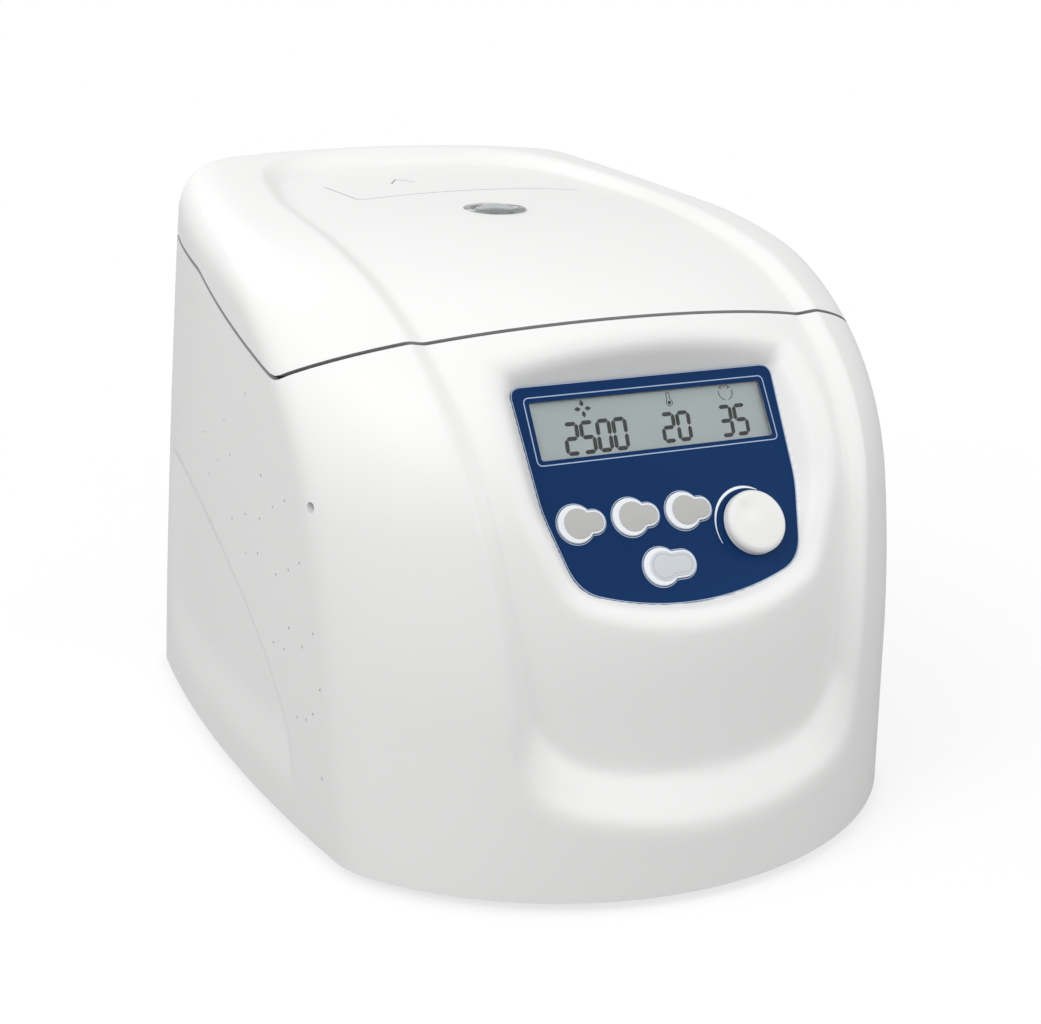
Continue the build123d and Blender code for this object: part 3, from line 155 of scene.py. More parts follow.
@dataclass(frozen=True)
class Finish:
    """A finish whose colour and surface vary a little over the piece.

    Attributes:
        name: Plain name of the material and how its surface was made.
        colour: Main colour as sRGB hex.
        second: Colour of its lighter or darker patches.
        roughness: Mean roughness.
        metallic: 1 for bare metal.
        grain_mm: Size of the surface grain in millimetres.
        grain_depth_mm: Height of the grain.
        stretch: Stretch of the grain along X, Y and Z, for brushed or drawn surfaces.
        coat: Clear coat weight.
        ior: Index of refraction of a non-metal.
        patch_mm: Size of the patches between the two colours.
        specular: Strength of a non-metal's reflection.
    """

    name: str
    colour: str
    second: str
    roughness: float = 0.45
    metallic: float = 0.0
    grain_mm: float = 0.6
    grain_depth_mm: float = 0.02
    stretch: tuple[float, float, float] = (1.0, 1.0, 1.0)
    coat: float = 0.0
    ior: float = 1.5
    patch_mm: float = 60.0
    specular: float = 0.5

    def build(self) -> bpy.types.Material:
        """Makes the node material once and returns it afterwards."""
        made = bpy.data.materials.get(self.name)
        if made is not None:
            return made
        made = bpy.data.materials.new(self.name)
        made.use_nodes = True
        tree = made.node_tree
        tree.nodes.clear()
        place = add_node(tree, "ShaderNodeTexCoord").outputs["Object"]
        grain_place = add_node(tree, "ShaderNodeMapping", {"Scale": self.stretch}, {"Vector": place})
        grain = add_node(
            tree,
            "ShaderNodeTexNoise",
            {"Scale": 1 / (self.grain_mm * MM), "Detail": 3.0, "Roughness": 0.55},
            {"Vector": grain_place.outputs["Vector"]},
        )
        patches = add_node(
            tree, "ShaderNodeTexNoise", {"Scale": 1 / (self.patch_mm * MM), "Detail": 2.0}, {"Vector": place}
        )
        colour = add_node(
            tree,
            "ShaderNodeMix",
            {"data_type": "RGBA", 6: linear(self.colour), 7: linear(self.second)},
            {0: patches.outputs["Fac"]},
        )
        shine = add_node(
            tree,
            "ShaderNodeMapRange",
            {"To Min": self.roughness * 0.9, "To Max": min(1.0, self.roughness * 1.1)},
            {"Value": grain.outputs["Fac"]},
        )
        bump = add_node(
            tree,
            "ShaderNodeBump",
            {"Strength": 0.6, "Distance": self.grain_depth_mm * MM},
            {"Height": grain.outputs["Fac"]},
        )
        shader = add_node(
            tree,
            "ShaderNodeBsdfPrincipled",
            {"Metallic": self.metallic, "Coat Weight": self.coat, "Specular IOR Level": self.specular},
            {
                "Base Color": colour.outputs[2],
                "Roughness": shine.outputs["Result"],
                "Normal": bump.outputs["Normal"],
            },
        )
        if not self.metallic:
            shader.inputs["IOR"].default_value = self.ior
        add_node(tree, "ShaderNodeOutputMaterial", links={"Surface": shader.outputs["BSDF"]})
        return made


@dataclass(frozen=True)
class ClearFinish:
    """A clear moulded window.

    Attributes:
        name: Plain name of the material.
        colour: Tint as sRGB hex.
        roughness: Surface roughness.
    """

    name: str
    colour: str
    roughness: float = 0.03

    def build(self) -> bpy.types.Material:
        """Makes the node material once and returns it afterwards."""
        made = bpy.data.materials.get(self.name)
        if made is not None:
            return made
        made = bpy.data.materials.new(self.name)
        made.use_nodes = True
        tree = made.node_tree
        tree.nodes.clear()
        place = add_node(tree, "ShaderNodeTexCoord").outputs["Object"]
        haze = add_node(tree, "ShaderNodeTexNoise", {"Scale": 400.0, "Detail": 2.0}, {"Vector": place})
        shine = add_node(
            tree,
            "ShaderNodeMapRange",
            {"To Min": self.roughness, "To Max": self.roughness * 2},
            {"Value": haze.outputs["Fac"]},
        )
        shader = add_node(
            tree,
            "ShaderNodeBsdfPrincipled",
            {"Base Color": linear(self.colour), "Transmission Weight": 1.0, "IOR": 1.49},
            {"Roughness": shine.outputs["Result"]},
        )
        add_node(tree, "ShaderNodeOutputMaterial", links={"Surface": shader.outputs["BSDF"]})
        return made


# Moulded ABS with a fine spark-eroded texture: satin, warm white, no visible grain at arm's length
WHITE_ABS = Finish("abs_satin_moulded", "#f4f4f3", "#f1f1f0", 0.42, grain_mm=0.7, grain_depth_mm=0.012)
# Grey painted shade on the wall's cut edges: the cut edge along the seam lies in the shade of its lip, and this grey
# stands in for the shadow in the gap
SEAM_PAINTED_SHADE = Finish("abs_edge_painted_shade", "#b2b4b5", "#adafb0", 0.6, grain_mm=0.7, grain_depth_mm=0.012)
# Inner mouldings have a coarser, duller texture
INNER_ABS = Finish("abs_matte_moulded", "#e6e6e3", "#dfdfdc", 0.62, grain_mm=0.9, grain_depth_mm=0.03)
# Printed polyester film: deep blue ink seen through a fine textured clear face
BLUE_FILM = Finish(
    "polyester_film_printed", "#002b5a", "#063466", 0.5, grain_mm=0.35, grain_depth_mm=0.006, specular=0.12
)
# Pale ink: printed lines on the panel, and also a painted highlight along the overlay's cut edge
PALE_INK_AND_HIGHLIGHT = Finish("pale_ink_and_edge_highlight", "#b4c6de", "#a9bdd8", 0.45, grain_depth_mm=0.004)
WHITE_INK = Finish("white_screen_ink", "#eef2f6", "#e6ecf2", 0.45, grain_depth_mm=0.004)
# Liquid crystal cell: grey-green behind a polariser
CRYSTAL = Finish("liquid_crystal_cell", "#bfc9c8", "#b7c2c2", 0.35, grain_mm=0.5, grain_depth_mm=0.004)
GREY_INK = Finish("grey_pad_ink", "#9b9d9f", "#a5a7a8", 0.5, grain_depth_mm=0.004)
SEGMENT = Finish("crystal_segment_dark", "#040506", "#07090a", 0.6, grain_depth_mm=0.003, specular=0.1)
# Silicone keys: soft sheen, grey caps on white collars
KEY_GREY = Finish("silicone_key_grey", "#bcbcba", "#b6b6b5", 0.55, grain_mm=0.4, grain_depth_mm=0.01)
KEY_PALE = Finish("silicone_key_pale", "#d0d4da", "#c9ced6", 0.55, grain_mm=0.4, grain_depth_mm=0.01)
KEY_WHITE = Finish("silicone_key_white", "#f0f3f7", "#e8edf3", 0.5, grain_mm=0.4, grain_depth_mm=0.008)
DIAL_WHITE = Finish("abs_fine_moulded", "#f0f0ef", "#ececea", 0.45, grain_mm=0.5, grain_depth_mm=0.01)
BLACK_ABS = Finish("abs_black_moulded", "#1b1c1d", "#232425", 0.5, grain_mm=0.6, grain_depth_mm=0.03)
RUBBER = Finish("rubber_moulded", "#161616", "#202020", 0.8, grain_mm=0.5, grain_depth_mm=0.05)
# Deep drawn stainless steel, brushed round: long fine scratches
STEEL = Finish("stainless_brushed", "#d2d3d4", "#c6c7c8", 0.32, 1.0, 0.5, 0.01, (1.0, 1.0, 0.06), patch_mm=40.0)
TURNED_STEEL = Finish("steel_turned", "#a6a8aa", "#98999b", 0.28, 1.0, 0.4, 0.01, (1.0, 1.0, 0.2), patch_mm=20.0)
ANODISED = Finish("aluminium_anodised", "#8d9095", "#84878c", 0.38, 1.0, 0.3, 0.006, patch_mm=30.0)
COATED_STEEL = Finish("steel_powder_coated", "#8d9093", "#85888b", 0.6, grain_mm=0.8, grain_depth_mm=0.06)
MOTOR_PAINT = Finish("motor_enamel", "#26282b", "#2e3033", 0.4, grain_mm=1.0, grain_depth_mm=0.03, coat=0.2)
SOLDER_MASK = Finish("solder_mask_green", "#0f4a2a", "#12562f", 0.35, grain_mm=2.0, grain_depth_mm=0.03, coat=0.3)
ALUMINIUM = Finish("aluminium_extruded", "#aeb1b3", "#9fa2a4", 0.35, 1.0, 0.5, 0.01, (1.0, 1.0, 0.1))
BEZEL = Finish("abs_chromed", "#a6a8aa", "#9c9ea0", 0.2, 0.8, 0.3, 0.002)
HOLE_DARK = Finish("hole_shadow", "#77787a", "#6a6b6d", 0.9, grain_depth_mm=0.003)
SMOKED = ClearFinish("acrylic_smoked", "#c3c8ca")
CLEAR = ClearFinish("acrylic_clear", "#fafcfd")

NODE_FINISHES: dict[str, Finish | ClearFinish] = {
    "lid_liner": INNER_ABS,
    "chamber_deck": INNER_ABS,
    "base_pan": COATED_STEEL,
    "motor_mount": COATED_STEEL,
    "foot_front_left": RUBBER,
    "foot_front_right": RUBBER,
    "foot_rear_left": RUBBER,
    "foot_rear_right": RUBBER,
    "damper_1": RUBBER,
    "damper_2": RUBBER,
    "damper_3": RUBBER,
    "bowl_collar": RUBBER,
    "lid_gasket": RUBBER,
    "base_screws": TURNED_STEEL,
    "hinge_pin_left": TURNED_STEEL,
    "hinge_pin_right": TURNED_STEEL,
    "upper_bearing": TURNED_STEEL,
    "lower_bearing": TURNED_STEEL,
    "motor_shaft": TURNED_STEEL,
    "striker": TURNED_STEEL,
    "lock_bolt": TURNED_STEEL,
    "rotor_bowl": STEEL,
    "motor_can": MOTOR_PAINT,
    "stator": MOTOR_PAINT,
    "hinge_base_left": COATED_STEEL,
    "hinge_base_right": COATED_STEEL,
    "hinge_arm_left": COATED_STEEL,
    "hinge_arm_right": COATED_STEEL,
    "lock_case": BLACK_ABS,
    "fan_frame": BLACK_ABS,
    "fan_rotor": BLACK_ABS,
    "fan_guard": BLACK_ABS,
    "power_inlet": BLACK_ABS,
    "rocker_frame": BLACK_ABS,
    "fuse_drawer": BLACK_ABS,
    "key_switches": BLACK_ABS,
    "rocker": BLACK_ABS,
    "rotor_knob": BLACK_ABS,
    "panel_overlay": BLUE_FILM,
    "display_window": CLEAR,
    "sight_window": CLEAR,
    "display_module": CRYSTAL,
    "display_board": SOLDER_MASK,
    "power_board": SOLDER_MASK,
    "encoder": ALUMINIUM,
    "heat_sink": ALUMINIUM,
    "capacitors": ALUMINIUM,
    "rotor": ANODISED,
    "rotor_lid": ANODISED,
    "window_bezel": BEZEL,
    "key_program": KEY_WHITE,
    "key_lid": KEY_WHITE,
    "key_select": KEY_WHITE,
    "key_start": KEY_WHITE,
    "dial": DIAL_WHITE,
}


def soft_max(a: np.ndarray, b: np.ndarray, width: np.ndarray | float) -> np.ndarray:
    """The larger of two distances, rounded where they are within a width of each other."""
    near = np.clip(width - np.abs(a - b), 0, None) / width
    return np.maximum(a, b) + near**2 * width / 4


def smooth_step(value: np.ndarray, low: float | np.ndarray, high: float | np.ndarray) -> np.ndarray:
    """0 below low, 1 above high, and a smooth S between them."""
    share = np.clip((value - low) / (high - low), 0, 1)
    return share * share * (3 - 2 * share)


def soft_ramp(value: np.ndarray, low: float | np.ndarray, high: float | np.ndarray) -> np.ndarray:
    """0 below low, 1 above high, and a straight ramp with rounded ends between them."""
    share = soft_max((value - low) / (high - low), np.zeros_like(value), 0.2)
    return 1 - soft_max(1 - share, np.zeros_like(value), 0.2)


def finished(bm: bmesh.types.BMesh, name: str, finish: Finish | ClearFinish, sharp_deg: float = 35.0) -> bpy.types.Object:
    """Turns a bmesh in millimetres into a shaded object at the origin, in metres.

    Args:
        bm: The shape, which is freed.
        name: The piece's name.
        finish: Its material.
        sharp_deg: Edges sharper than this angle stay sharp.

    Returns:
        The new object, linked to the scene.
    """
    bmesh.ops.scale(bm, vec=(MM, MM, MM), verts=bm.verts)
    for face in bm.faces:
        face.smooth = True
    mesh = bpy.data.meshes.new(name)
    bm.to_mesh(mesh)
    bm.free()
    mesh.set_sharp_from_angle(angle=math.radians(sharp_deg))
    mesh.materials.append(finish.build())
    made = bpy.data.objects.new(name, mesh)
    bpy.context.scene.collection.objects.link(made)
    return made


def baked(made: bpy.types.Object) -> bpy.types.Object:
    """Applies a piece's modifiers to its mesh and returns the piece."""
    graph = bpy.context.evaluated_depsgraph_get()
    mesh = bpy.data.meshes.new_from_object(made.evaluated_get(graph))
    made.modifiers.clear()
    made.data = mesh
    return made


@dataclass(frozen=True)
class ArcProfile:
    """A convex side profile: straight up, then arcs that lean back, then a straight run.

    Attributes:
        front_y: Depth of the upright stretch.
        start_z: Height where the first arc starts.
        arcs: Radius and turn in degrees of each arc.
    """

    front_y: float
    start_z: float
    arcs: tuple[tuple[float, float], ...]
    step_deg: float = 1.0

    def supports(self) -> tuple[np.ndarray, np.ndarray]:
        """Points on the profile and the outward normals there, as (y, z) rows."""
        turned, point = 0.0, np.array([self.front_y, self.start_z])
        points, normals = [], []
        for radius, angle in self.arcs:
            count = max(2, round(angle / self.step_deg))
            inward = np.array([math.cos(turned), -math.sin(turned)])
            centre = point + radius * inward
            for index in range(count):
                a = turned + math.radians(angle) * index / count
                normal = np.array([-math.cos(a), math.sin(a)])
                points.append(centre + radius * normal)
                normals.append(normal)
            turned += math.radians(angle)
            point = centre + radius * np.array([-math.cos(turned), math.sin(turned)])
        points.append(point)
        normals.append(np.array([-math.cos(turned), math.sin(turned)]))
        return np.array(points), np.array(normals)


@dataclass
class CasingForm:
    """The outer form of the casing as a distance field, from the same sizes as the CAD source."""

    front_y: float = -182.0
    rear_y: float = 182.0
    nose_radius: float = 147.0
    side_radius: float = 1018.0
    low: tuple[float, float, float] = (4.0, 140.0, 54.0)
    high: tuple[float, float, float] = (213.0, 134.0, -27.7)
    rear_corner: float = 30.0
    shoulder: float = 22.0
    shoulder_start: float = 72.0
    shoulder_arcs: tuple[tuple[float, float], ...] = ((400.0, 10.0), (100.0, 38.0), (150.0, 27.0), (450.0, 8.0))
    recess_depth: float = 9.7
    recess_start: float = 85.0
    recess_arcs: tuple[tuple[float, float], ...] = ((335.0, 10.0), (90.0, 38.0), (150.0, 28.0), (600.0, 8.5))
    recess_sill: float = 41.0
    recess_sill_rise: float = 11.0
    recess_half_width: float = 69.0
    recess_flare: float = 0.121
    recess_top_half_width: float = 91.5
    recess_rear: float = 147.0
    wall_half_band: float = 3.5
    sill_half_band: float = 7.0
    panel_tilt: float = 30.8
    panel_origin: tuple[float, float, float] = (0.0, -116.2, 188.7)
    film: float = 0.8
    pocket_taper: float = 36.0
    pocket_soft: float = 8.0
    tuck_depth: float = 2.0
    tuck_centre: tuple[float, float] = (140.0, 24.0)
    tuck_half: tuple[float, float] = (206.0, 98.0)
    tuck_band: float = 2.6
    bottom: float = -30.0
    outer_profile: tuple[np.ndarray, np.ndarray] = field(init=False)
    floor_profile: tuple[np.ndarray, np.ndarray] = field(init=False)

    def __post_init__(self) -> None:
        """Works out the two side profiles once."""
        self.outer_profile = ArcProfile(self.front_y, self.shoulder_start, self.shoulder_arcs).supports()
        floor = ArcProfile(self.front_y + self.recess_depth, self.recess_start, self.recess_arcs)
        self.floor_profile = floor.supports()

    def crown(self, p: np.ndarray, profile: tuple[np.ndarray, np.ndarray]) -> tuple[np.ndarray, np.ndarray]:
        """Distance to a nose-and-top surface.

        Args:
            p: Points, one a row.
            profile: Its side profile's points and normals.

        Returns:
            The distances and the surface's unit normals.
        """
        reach = 0.995 * self.nose_radius
        x = np.clip(p[:, 0], -reach, reach)
        fall = np.sqrt(self.nose_radius**2 - x**2)
        flat = np.stack([p[:, 1] - (self.nose_radius - fall), p[:, 2]], axis=1)
        points, normals = profile
        reaches = flat @ normals.T - np.sum(points * normals, axis=1)
        best = np.argmax(reaches, axis=1)
        normal = normals[best]
        slope = np.stack([-normal[:, 0] * x / fall, normal[:, 0], normal[:, 1]], axis=1)
        size = np.linalg.norm(slope, axis=1)
        return reaches[np.arange(len(p)), best] / size, slope / size[:, None]

    def half_width(self, y: np.ndarray, z: np.ndarray) -> np.ndarray:
        """Half width of the casing between its bowed sides."""
        rise = (z - self.low[0]) / (self.high[0] - self.low[0])
        widest = self.low[1] + rise * (self.high[1] - self.low[1])
        widest_y = self.low[2] + rise * (self.high[2] - self.low[2])
        return widest - self.side_radius + np.sqrt(self.side_radius**2 - (y - widest_y) ** 2)

    def tuck_edge(self, y: np.ndarray, z: np.ndarray) -> np.ndarray:
        """Distance above the long crease of the side wall, negative below it."""
        along = np.minimum(y - self.tuck_centre[0], 0) / self.tuck_half[0]
        up = (z - self.tuck_centre[1]) / self.tuck_half[1]
        return (np.sqrt(along**2 + up**2) - 1) * self.tuck_half[1]

    def tuck(self, y: np.ndarray, z: np.ndarray) -> np.ndarray:
        """How far the side wall steps in below the long crease."""
        off = self.tuck_edge(y, z)
        fade = smooth_step(z, 18.0, 50.0) * (1 - smooth_step(y, 100.0, 150.0))
        return self.tuck_depth * (1 - soft_ramp(off, -self.tuck_band, 0.0)) * fade

    def outside(self, p: np.ndarray) -> np.ndarray:
        """Distance to the casing without its recess, with soft shoulders and rear corners."""
        x, y, z = p.T
        side = np.abs(x) - self.half_width(y, z) + self.tuck(y, z)
        rear = y - self.rear_y
        r = self.rear_corner
        u, v = np.maximum(side + r, 0), np.maximum(rear + r, 0)
        box = np.minimum(-r, np.maximum(side, rear)) + np.hypot(u, v)
        length = np.maximum(np.hypot(u, v), 1e-9)
        box_normal = np.stack([np.sign(x) * u / length, v / length, np.zeros_like(x)], axis=1)
        crown, crown_normal = self.crown(p, self.outer_profile)
        half_turn = np.sqrt(np.clip((1 + np.sum(box_normal * crown_normal, axis=1)) / 2, 0, 1))
        return soft_max(box, crown, np.maximum(4 * self.shoulder * (1 - half_turn), 0.5))

    def recess_edge(self, p: np.ndarray) -> np.ndarray:
        """Distance outside the recess's outline, negative within it."""
        x, y, z = np.abs(p[:, 0]), p[:, 1], p[:, 2]
        sill_end = self.recess_sill + self.recess_sill_rise
        front = (x - self.recess_half_width - self.recess_flare * (z - sill_end)) / math.hypot(1, self.recess_flare)
        half, rise = self.recess_half_width, self.recess_sill_rise
        radius = (half**2 + rise**2) / (2 * rise)
        sill = np.hypot(x, z - self.recess_sill - radius) - radius
        lead, narrowing = np.maximum(-5 - y, 0), np.maximum(y + 5, 0)
        above = x - self.recess_top_half_width - 0.0355 * lead + 3.54e-5 * narrowing**2.675
        rear = y - self.recess_rear + 3 * (x / 70) ** 2
        edge = soft_max(front, above, 4.0)
        edge = soft_max(edge, sill, 20.0)
        return soft_max(edge, rear, 32.0)

    def panel_frame(self) -> Matrix:
        """Matrix from the panel's own right, up and outward axes to the casing's, in millimetres."""
        tilt = math.radians(self.panel_tilt)
        right, up = Vector((1, 0, 0)), Vector((0, math.sin(tilt), math.cos(tilt)))
        out = Vector((0, -math.cos(tilt), math.sin(tilt)))
        turn = Matrix((right, up, out)).transposed().to_4x4()
        return Matrix.Translation(Vector(self.panel_origin)) @ turn

    def panel_edge(self, u: np.ndarray, v: np.ndarray) -> np.ndarray:
        """Distance outside the overlay's outline on the panel plane."""
        bottom = np.hypot(u, v - 32.6) - 119.6
        upper = (np.abs(u) - 56.2 - 0.0425 * (v + 45)) / math.hypot(1, 0.0425)
        lower = (np.abs(u) - 49 - 0.2286 * (v + 76.5)) / math.hypot(1, 0.2286)
        edge = soft_max(upper, lower, 1.0)
        edge = soft_max(edge, bottom, 7.5)
        return soft_max(edge, v - 4.4, 4.7)

    def overlay_outline(self, inset: float, count: int = 360) -> Outline:
        """The overlay's outline, moved inwards."""
        turns = np.linspace(0, 2 * math.pi, count, endpoint=False)
        middle = -38.0
        near, far = np.zeros(count), np.full(count, 90.0)
        for _ in range(28):
            reach = (near + far) / 2
            out = self.panel_edge(reach * np.cos(turns), middle + reach * np.sin(turns)) > -inset
            far, near = np.where(out, reach, far), np.where(out, near, reach)
        return [(float(r * math.cos(t)), float(middle + r * math.sin(t))) for r, t in zip(near, turns)]

    def pocket(self, p: np.ndarray) -> np.ndarray:
        """Distance to the panel's pocket, negative inside it."""
        frame = np.array(self.panel_frame().inverted())
        u, v, w = (p @ frame[:3, :3].T + frame[:3, 3]).T
        edge = self.panel_edge(u, v)
        taper = math.radians(self.pocket_taper)
        wall = (edge - 0.4 - np.maximum(w, 0) * math.tan(taper)) * math.cos(taper)
        depth = self.film + 3.0 * smooth_step(-edge, 3.0, 6.0)
        return soft_max(-(w + depth), wall, 0.8)

    def distance(self, p: np.ndarray) -> np.ndarray:
        """Distance to the finished outer surface, negative inside the casing."""
        outer = self.outside(p)
        floor, _ = self.crown(p, self.floor_profile)
        band = self.wall_half_band + 0.012 * np.maximum(200 - p[:, 2], 0)
        band = band + (self.sill_half_band - self.wall_half_band) * (1 - smooth_step(p[:, 2], 45.0, 75.0))
        inside = 1 - soft_ramp(self.recess_edge(p), -band, band)
        shell = outer * (1 - inside) + np.maximum(floor, outer) * inside
        shell = soft_max(shell, -self.pocket(p), self.pocket_soft)
        return np.maximum(shell, self.bottom - p[:, 2])


@dataclass
class Parting:
    """The line that parts the lid from the housing, as a height that changes with depth."""

    corner: tuple[float, float] = (-61.0, 193.4)
    front_slope: float = 0.47
    bend: tuple[float, float] = (62.0, 220.7)
    rear_slope: float = 0.066
    gap: float = 1.7
    notch_y: float = 166.0
    notch_z: float = 223.0

    def height(self, y: np.ndarray) -> np.ndarray:
        """Height of the lid's lower edge."""
        middle_slope = (self.bend[1] - self.corner[1]) / (self.bend[0] - self.corner[0])
        front = self.corner[1] - self.front_slope * (y - self.corner[0])
        middle = self.corner[1] + middle_slope * (y - self.corner[0])
        rear = self.bend[1] + self.rear_slope * (y - self.bend[0])
        return soft_max(-soft_max(-middle, -rear, 1.4), front, 3.0)

    def housing_height(self, y: np.ndarray) -> np.ndarray:
        """Height of the housing's upper edge, with the low notch behind the hinge."""
        edge = self.height(y) - self.gap
        return edge - np.maximum(edge - self.notch_z, 0) * smooth_step(y, self.notch_y - 6, self.notch_y)


@dataclass
class Shells:
    """The two white mouldings: one soft skin, cut at the parting and given its wall."""

    form: CasingForm = field(default_factory=CasingForm)
    parting: Parting = field(default_factory=Parting)
    centre: tuple[float, float, float] = (0.0, 60.0, 60.0)
    skirt_z: float = 4.0
    wall: float = 3.0
    cuts: int = 37
    window: tuple[float, float, float] = (0.0, 26.6, 14.5)
    vents: tuple[tuple[int, int], ...] = (
        *((-24, 180), (10, 162), (47, 149), (72, 136), (1, 149), (22, 142), (41, 131)),
        *((-42, 150), (-69, 146), (-55, 140), (-20, 128), (0, 121), (-39, 131), (-19, 111)),
        *((-35, 115), (-82, 124), (-70, 118), (-56, 112), (-68, 93), (-92, 98), (-50, 81)),
        *((-81, 89), (-62, 82), (-96, 76), (-72, 56), (-81, 58), (-88, 63), (-93, 37)),
    )

    def places(self, bm: bmesh.types.BMesh) -> np.ndarray:
        """The vertices' places as rows."""
        return np.array([v.co for v in bm.verts])

    def project(self, bm: bmesh.types.BMesh, low: float, high: float, steps: int) -> None:
        """Moves each vertex along its ray from the centre onto the casing's surface.

        Args:
            bm: The skin.
            low: Start of the search from the centre, or below the present radius when negative.
            high: End of the search, above the present radius when low is negative.
            steps: Halvings of the search.
        """
        centre = np.array(self.centre)
        rays = self.places(bm) - centre
        length = np.linalg.norm(rays, axis=1)
        rays /= length[:, None]
        near, far = (length + low, length + high) if low < 0 else (np.full_like(length, low), np.full_like(length, high))
        for _ in range(steps):
            middle = (near + far) / 2
            out = self.form.distance(centre + rays * middle[:, None]) > 0
            far = np.where(out, middle, far)
            near = np.where(out, near, middle)
        for vert, place in zip(bm.verts, centre + rays * far[:, None]):
            vert.co = place

    def refine(self, bm: bmesh.types.BMesh, wanted: Callable[[np.ndarray], np.ndarray]) -> None:
        """Halves the edges where detail is wanted and puts the new vertices on the surface."""
        marks = wanted(self.places(bm))
        bm.verts.ensure_lookup_table()
        for vert, mark in zip(bm.verts, marks):
            vert.tag = bool(mark)
        edges = [e for e in bm.edges if e.verts[0].tag and e.verts[1].tag]
        bmesh.ops.subdivide_edges(bm, edges=edges, cuts=1, use_grid_fill=True)
        self.project(bm, -9.0, 9.0, 13)

    def near_walls(self, p: np.ndarray) -> np.ndarray:
        """Where recess walls, pocket walls or soft shoulders run."""
        walls = np.abs(self.form.recess_edge(p)) < 11
        crease = np.abs(self.form.tuck_edge(p[:, 1], p[:, 2]) + 1.3) < 5
        return walls | (np.abs(self.form.pocket(p)) < 9) | (crease & (np.abs(p[:, 0]) > 90))

    def near_rims(self, p: np.ndarray) -> np.ndarray:
        """Where the pocket's rim and foot need the finest faces."""
        crease = np.abs(self.form.tuck_edge(p[:, 1], p[:, 2]) + 1.3) < 2.6
        return (np.abs(self.form.pocket(p)) < 4.5) | (crease & (np.abs(p[:, 0]) > 90))

    def skin(self) -> bmesh.types.BMesh:
        """The whole outer skin, open below the skirt."""
        bm = bmesh.new()
        bmesh.ops.create_cube(bm, size=2.0)
        half = (140.0, 182.0, 148.0)
        bmesh.ops.scale(bm, vec=half, verts=bm.verts)
        bmesh.ops.translate(bm, vec=(0, 0, half[2] + self.form.bottom), verts=bm.verts)
        bmesh.ops.subdivide_edges(bm, edges=bm.edges, cuts=self.cuts, use_grid_fill=True)
        self.project(bm, 0.0, 420.0, 24)
        self.refine(bm, lambda p: p[:, 2] > -10)
        self.refine(bm, self.near_walls)
        self.refine(bm, self.near_rims)
        geom = [*bm.verts, *bm.edges, *bm.faces]
        plane = {"plane_co": (0, 0, self.skirt_z), "plane_no": (0, 0, 1)}
        bmesh.ops.bisect_plane(bm, geom=geom, clear_inner=True, **plane)
        return bm

    def part(self, bm: bmesh.types.BMesh, edge: Callable[[np.ndarray], np.ndarray], above: bool) -> bmesh.types.BMesh:
        """Cuts a copy of the skin along a height that changes with depth.

        Args:
            bm: The whole skin, which stays as it is.
            edge: The height at each depth.
            above: True to keep what is above it.

        Returns:
            The part that is kept.
        """
        piece = bm.copy()
        for vert in piece.verts:
            vert.co.z -= float(edge(np.array([vert.co.y]))[0])
        geom = [*piece.verts, *piece.edges, *piece.faces]
        bmesh.ops.bisect_plane(
            piece, geom=geom, plane_co=(0, 0, 0), plane_no=(0, 0, 1), clear_inner=above, clear_outer=not above
        )
        for vert in piece.verts:
            vert.co.z += float(edge(np.array([vert.co.y]))[0])
        return piece

    def cutter(self, name: str, add_shapes: Callable[[bmesh.types.BMesh], None]) -> bpy.types.Object:
        """An object whose closed shapes are taken away from a shell."""
        bm = bmesh.new()
        add_shapes(bm)
        bmesh.ops.recalc_face_normals(bm, faces=bm.faces)
        return finished(bm, name, INNER_ABS)

    def thicken(self, bm: bmesh.types.BMesh, name: str, cutter: bpy.types.Object) -> bpy.types.Object:
        """Gives a skin its wall, takes the cutter's shapes away and returns the piece."""
        made = finished(bm, name, WHITE_ABS)
        # Second material slot: the grey painted shade for the wall's cut edges
        made.data.materials.append(SEAM_PAINTED_SHADE.build())
        solid = made.modifiers.new("wall", "SOLIDIFY")
        solid.thickness = self.wall * MM
        solid.offset = -1
        # The wall's cut rims take the second material, a grey painted shade for the shadow inside the seam
        solid.material_offset_rim = 1
        holes = made.modifiers.new("holes", "BOOLEAN")
        holes.operation = "DIFFERENCE"
        holes.solver = "EXACT"
        holes.object = cutter
        baked(made)
        bpy.data.objects.remove(cutter)
        made.data.set_sharp_from_angle(angle=math.radians(40))
        return made

